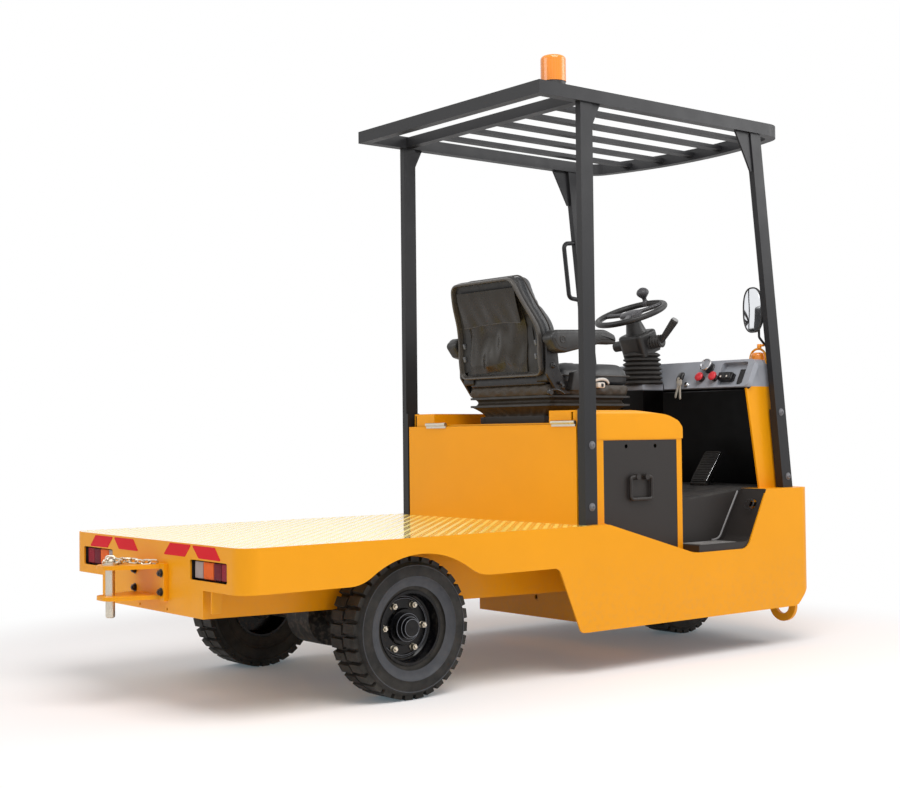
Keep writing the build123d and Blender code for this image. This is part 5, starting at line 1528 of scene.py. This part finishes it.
def leverSleeves(v):
    # A ribbed sleeve with radius bootRadius + bootFlare t + bootRib cos(2 pi bootRibs t), a grip with radius
    # gripRadius + gripFlare t and turned grooves, and a pale end.
    ribbed = [(v["bootRadius"] + v["bootFlare"] * t
               + v["bootRib"] * math.cos(2 * math.pi * v["bootRibs"] * t),
               v["bootLength"] * t) for t in np.linspace(0, 1, 41)]
    ribbed = lathe([(0, 0)] + ribbed + [(0, v["bootLength"])], 32)
    ribbed = facing(ribbed, v["bootFoot"], np.subtract(v["bootTo"], v["bootFoot"]))
    lengthwise = np.subtract(v["gripEnd"], v["gripFoot"])
    length = np.linalg.norm(lengthwise)
    grip = [(v["gripRadius"] + v["gripFlare"] * t
             - v["groove"] * (math.cos(2 * math.pi * v["grooves"] * t) > v["grooveWhere"]),
             v["gripFrom"] + (length - v["gripShort"]) * t) for t in np.linspace(0, 1, 55)]
    grip = lathe([(0, v["gripFrom"])] + grip + [(v["endRadius"], length - 1), (0, length - 1)], 30)
    addPiece("lever_sleeves", joined(ribbed, facing(grip, v["gripFoot"], lengthwise)), "mouldRubber",
             "chassis", 40)
    cap = moved(lathe(v["cap"], 30), (0, 0, length))
    addPiece("lever_cap", facing(cap, v["gripFoot"], lengthwise), "capGrey", "chassis", 40)


mirror = {
    "frameX": 1806.5, "glassX": 1807.3, "y": -465.0, "z": 1358.0, "half": (46.5, 90.5), "wire": 3.2,
    "square": 0.78, "glassHalf": (44.5, 88.5), "glassEdge": 1.0, "glassDome": 3.2, "glassPower": 2.56,
    "clamp": [(5.1, 0), (8, 0), (9, 2), (9, 16), (8, 18), (5.1, 18)], "clampSpot": (1829, -479, 1200),
    "lug": [(0, 0), (5, 0), (5, 14), (0, 14)], "lugSpot": (1829, -487, 1212),
}


def mirrorFace(m):
    # A rolled frame along half the width by the cosine and half the height by the sine, both raised to square,
    # glass that bulges to the rear by glassDome (1 - s²), and the clamp on the mirror's rod.
    turn = np.linspace(0, 2 * np.pi, 96, endpoint=False)
    c, d = (np.sign(wave) * np.abs(wave) ** m["square"] for wave in (np.cos(turn), np.sin(turn)))
    path = np.column_stack([0 * turn + m["frameX"], m["y"] + m["half"][0] * c, m["z"] + m["half"][1] * d])
    addPiece("mirror_frame", tube(path, m["wire"], (1, 0, 0), 12, True), "plasticBlack",
             "chassis", 60)
    a, b = m["glassHalf"]
    dome = [(a * s, b * s, m["glassEdge"] + m["glassDome"] * (1 - s * s)) for s in np.linspace(0.97, 0, 14)]
    glass = stacked([(0, 0, 0), (a, b, 0), (a, b, m["glassEdge"])] + dome, m["glassPower"], 72)
    glass = copies(glass, (m["glassX"], m["y"], m["z"]), *onRear)
    addPiece("mirror_glass", glass, "mirrorSilver", "chassis", 60)
    clamp = moved(lathe(m["clamp"], 24, True), m["clampSpot"])
    lug = facing(lathe(m["lug"], 16), m["lugSpot"], (0, -1, 0))
    addPiece("mirror_clamp", joined(clamp, lug), "amberPlastic", "chassis")


pedals = {
    "x": 1768.0, "z": 644.0, "tilt": 38.0, "thick": 6.0, "pads": [(-195, 84), (60, 70)],  # y and width
    "coverUp": 84.0, "coverHalf": 78.0, "coverThick": 4.0, "coverEdge": 1.8, "coverOver": 1.5,
    "ribs": range(16, 160, 13), "ribShort": 6.0, "ribOut": 3.5,
    "strip": (2.4, 76, 7, 1.0, 0, 8, 24), "stripBeside": 2.6, "stripIn": 2.0,
}


def pedalCovers(p):
    # Rubber covers with cross ribs on the pedals, and a bright strip along each one's right edge.
    lean = math.radians(p["tilt"])
    across, up = (0, -1, 0), np.array([math.sin(lean), 0, math.cos(lean)])
    out = np.cross(across, up)
    covers, strips = [], []
    for y, width in p["pads"]:
        face = np.array([p["x"], y, p["z"]]) + p["thick"] * out
        middle = face + p["coverUp"] * up
        cover = pad(width / 2 + p["coverOver"], p["coverHalf"], p["coverThick"], p["coverEdge"], 0, 12)
        covers.append(copies(cover, middle, across, up))
        ribs = [face + height * up + p["ribOut"] * out for height in p["ribs"]]
        covers.append(copies(pad(width / 2 - p["ribShort"], 3, 3, 1.2, 0, 8, 24), ribs, across, up))
        beside = middle - (0, width / 2 + p["stripBeside"], 0) - p["stripIn"] * out
        strips.append(copies(pad(*p["strip"]), beside, across, up))
    addPiece("pedal_covers", joined(*covers), "mouldRubber", "chassis")
    addPiece("pedal_edges", joined(*strips), "chromeTrim", "chassis")


steps = {
    "rib": (104, 2.6, 2.4, 1.0, 0, 10, 24), "ribX": 1452.0, "ribZ": 429.8, "ribRows": range(478, 580, 13),
    "lip": [(1540, -461.5, 433), (1570, -461.5, 434), (1592, -461.5, 446), (1604, -461.5, 470),
            (1652, -461.5, 545), (1700, -461.5, 622)],
    "lipHalf": 4.6, "lipFlat": 0.6, "noseSlope": (119.0, 0.0, 229.0),
    "cover": (62, 9, 3, 1.2, 0, 12), "coverSpot": (1723.2, -524, 623.4),
    "holeRing": [(18.5, 0), (23, 0), (24, 1.5), (23, 3), (19.5, 3), (18.5, 1.5)],
    "holeSpot": (1668, 545, 574),
}


def stepTrim(s):
    # Ribs along the treads, a pale strip up the front of each well that is a painted highlight on the fold's
    # edge, covers on the nose's top edge and rings round the holes, the same on both sides.
    spots = [(s["ribX"], side * y, s["ribZ"]) for side in (1, -1) for y in s["ribRows"]]
    ribs = copies(pad(*s["rib"]), spots, (1, 0, 0), (0, 1, 0))
    addPiece("step_ribs", ribs, "stepMetal", "chassis")
    lip = tube(smoothPath(s["lip"], 10), s["lipHalf"], (0, 1, 0), 12, False, s["lipFlat"])
    addPiece("step_lip_highlights", joined(lip, mirrored(lip)), "lipHighlightGrey", "chassis", 50)
    slope = unit(s["noseSlope"])
    cover = copies(pad(*s["cover"]), s["coverSpot"], (0, -1, 0), slope)
    addPiece("step_top_covers", joined(cover, mirrored(cover)), "panelGrey", "chassis")
    x, y, z = s["holeSpot"]
    rings = copies(lathe(s["holeRing"], 32, True), [(x, y, z), (x, -y, z)], (0, 1, 0), slope)
    addPiece("step_hole_rings", rings, "plasticBlack", "chassis")


dashSwitches(dash)
dashKeys(dash, keys)
handWheel(handle)
leverSleeves(lever)
mirrorFace(mirror)
pedalCovers(pedals)
stepTrim(steps)
print("operator's place fitted")
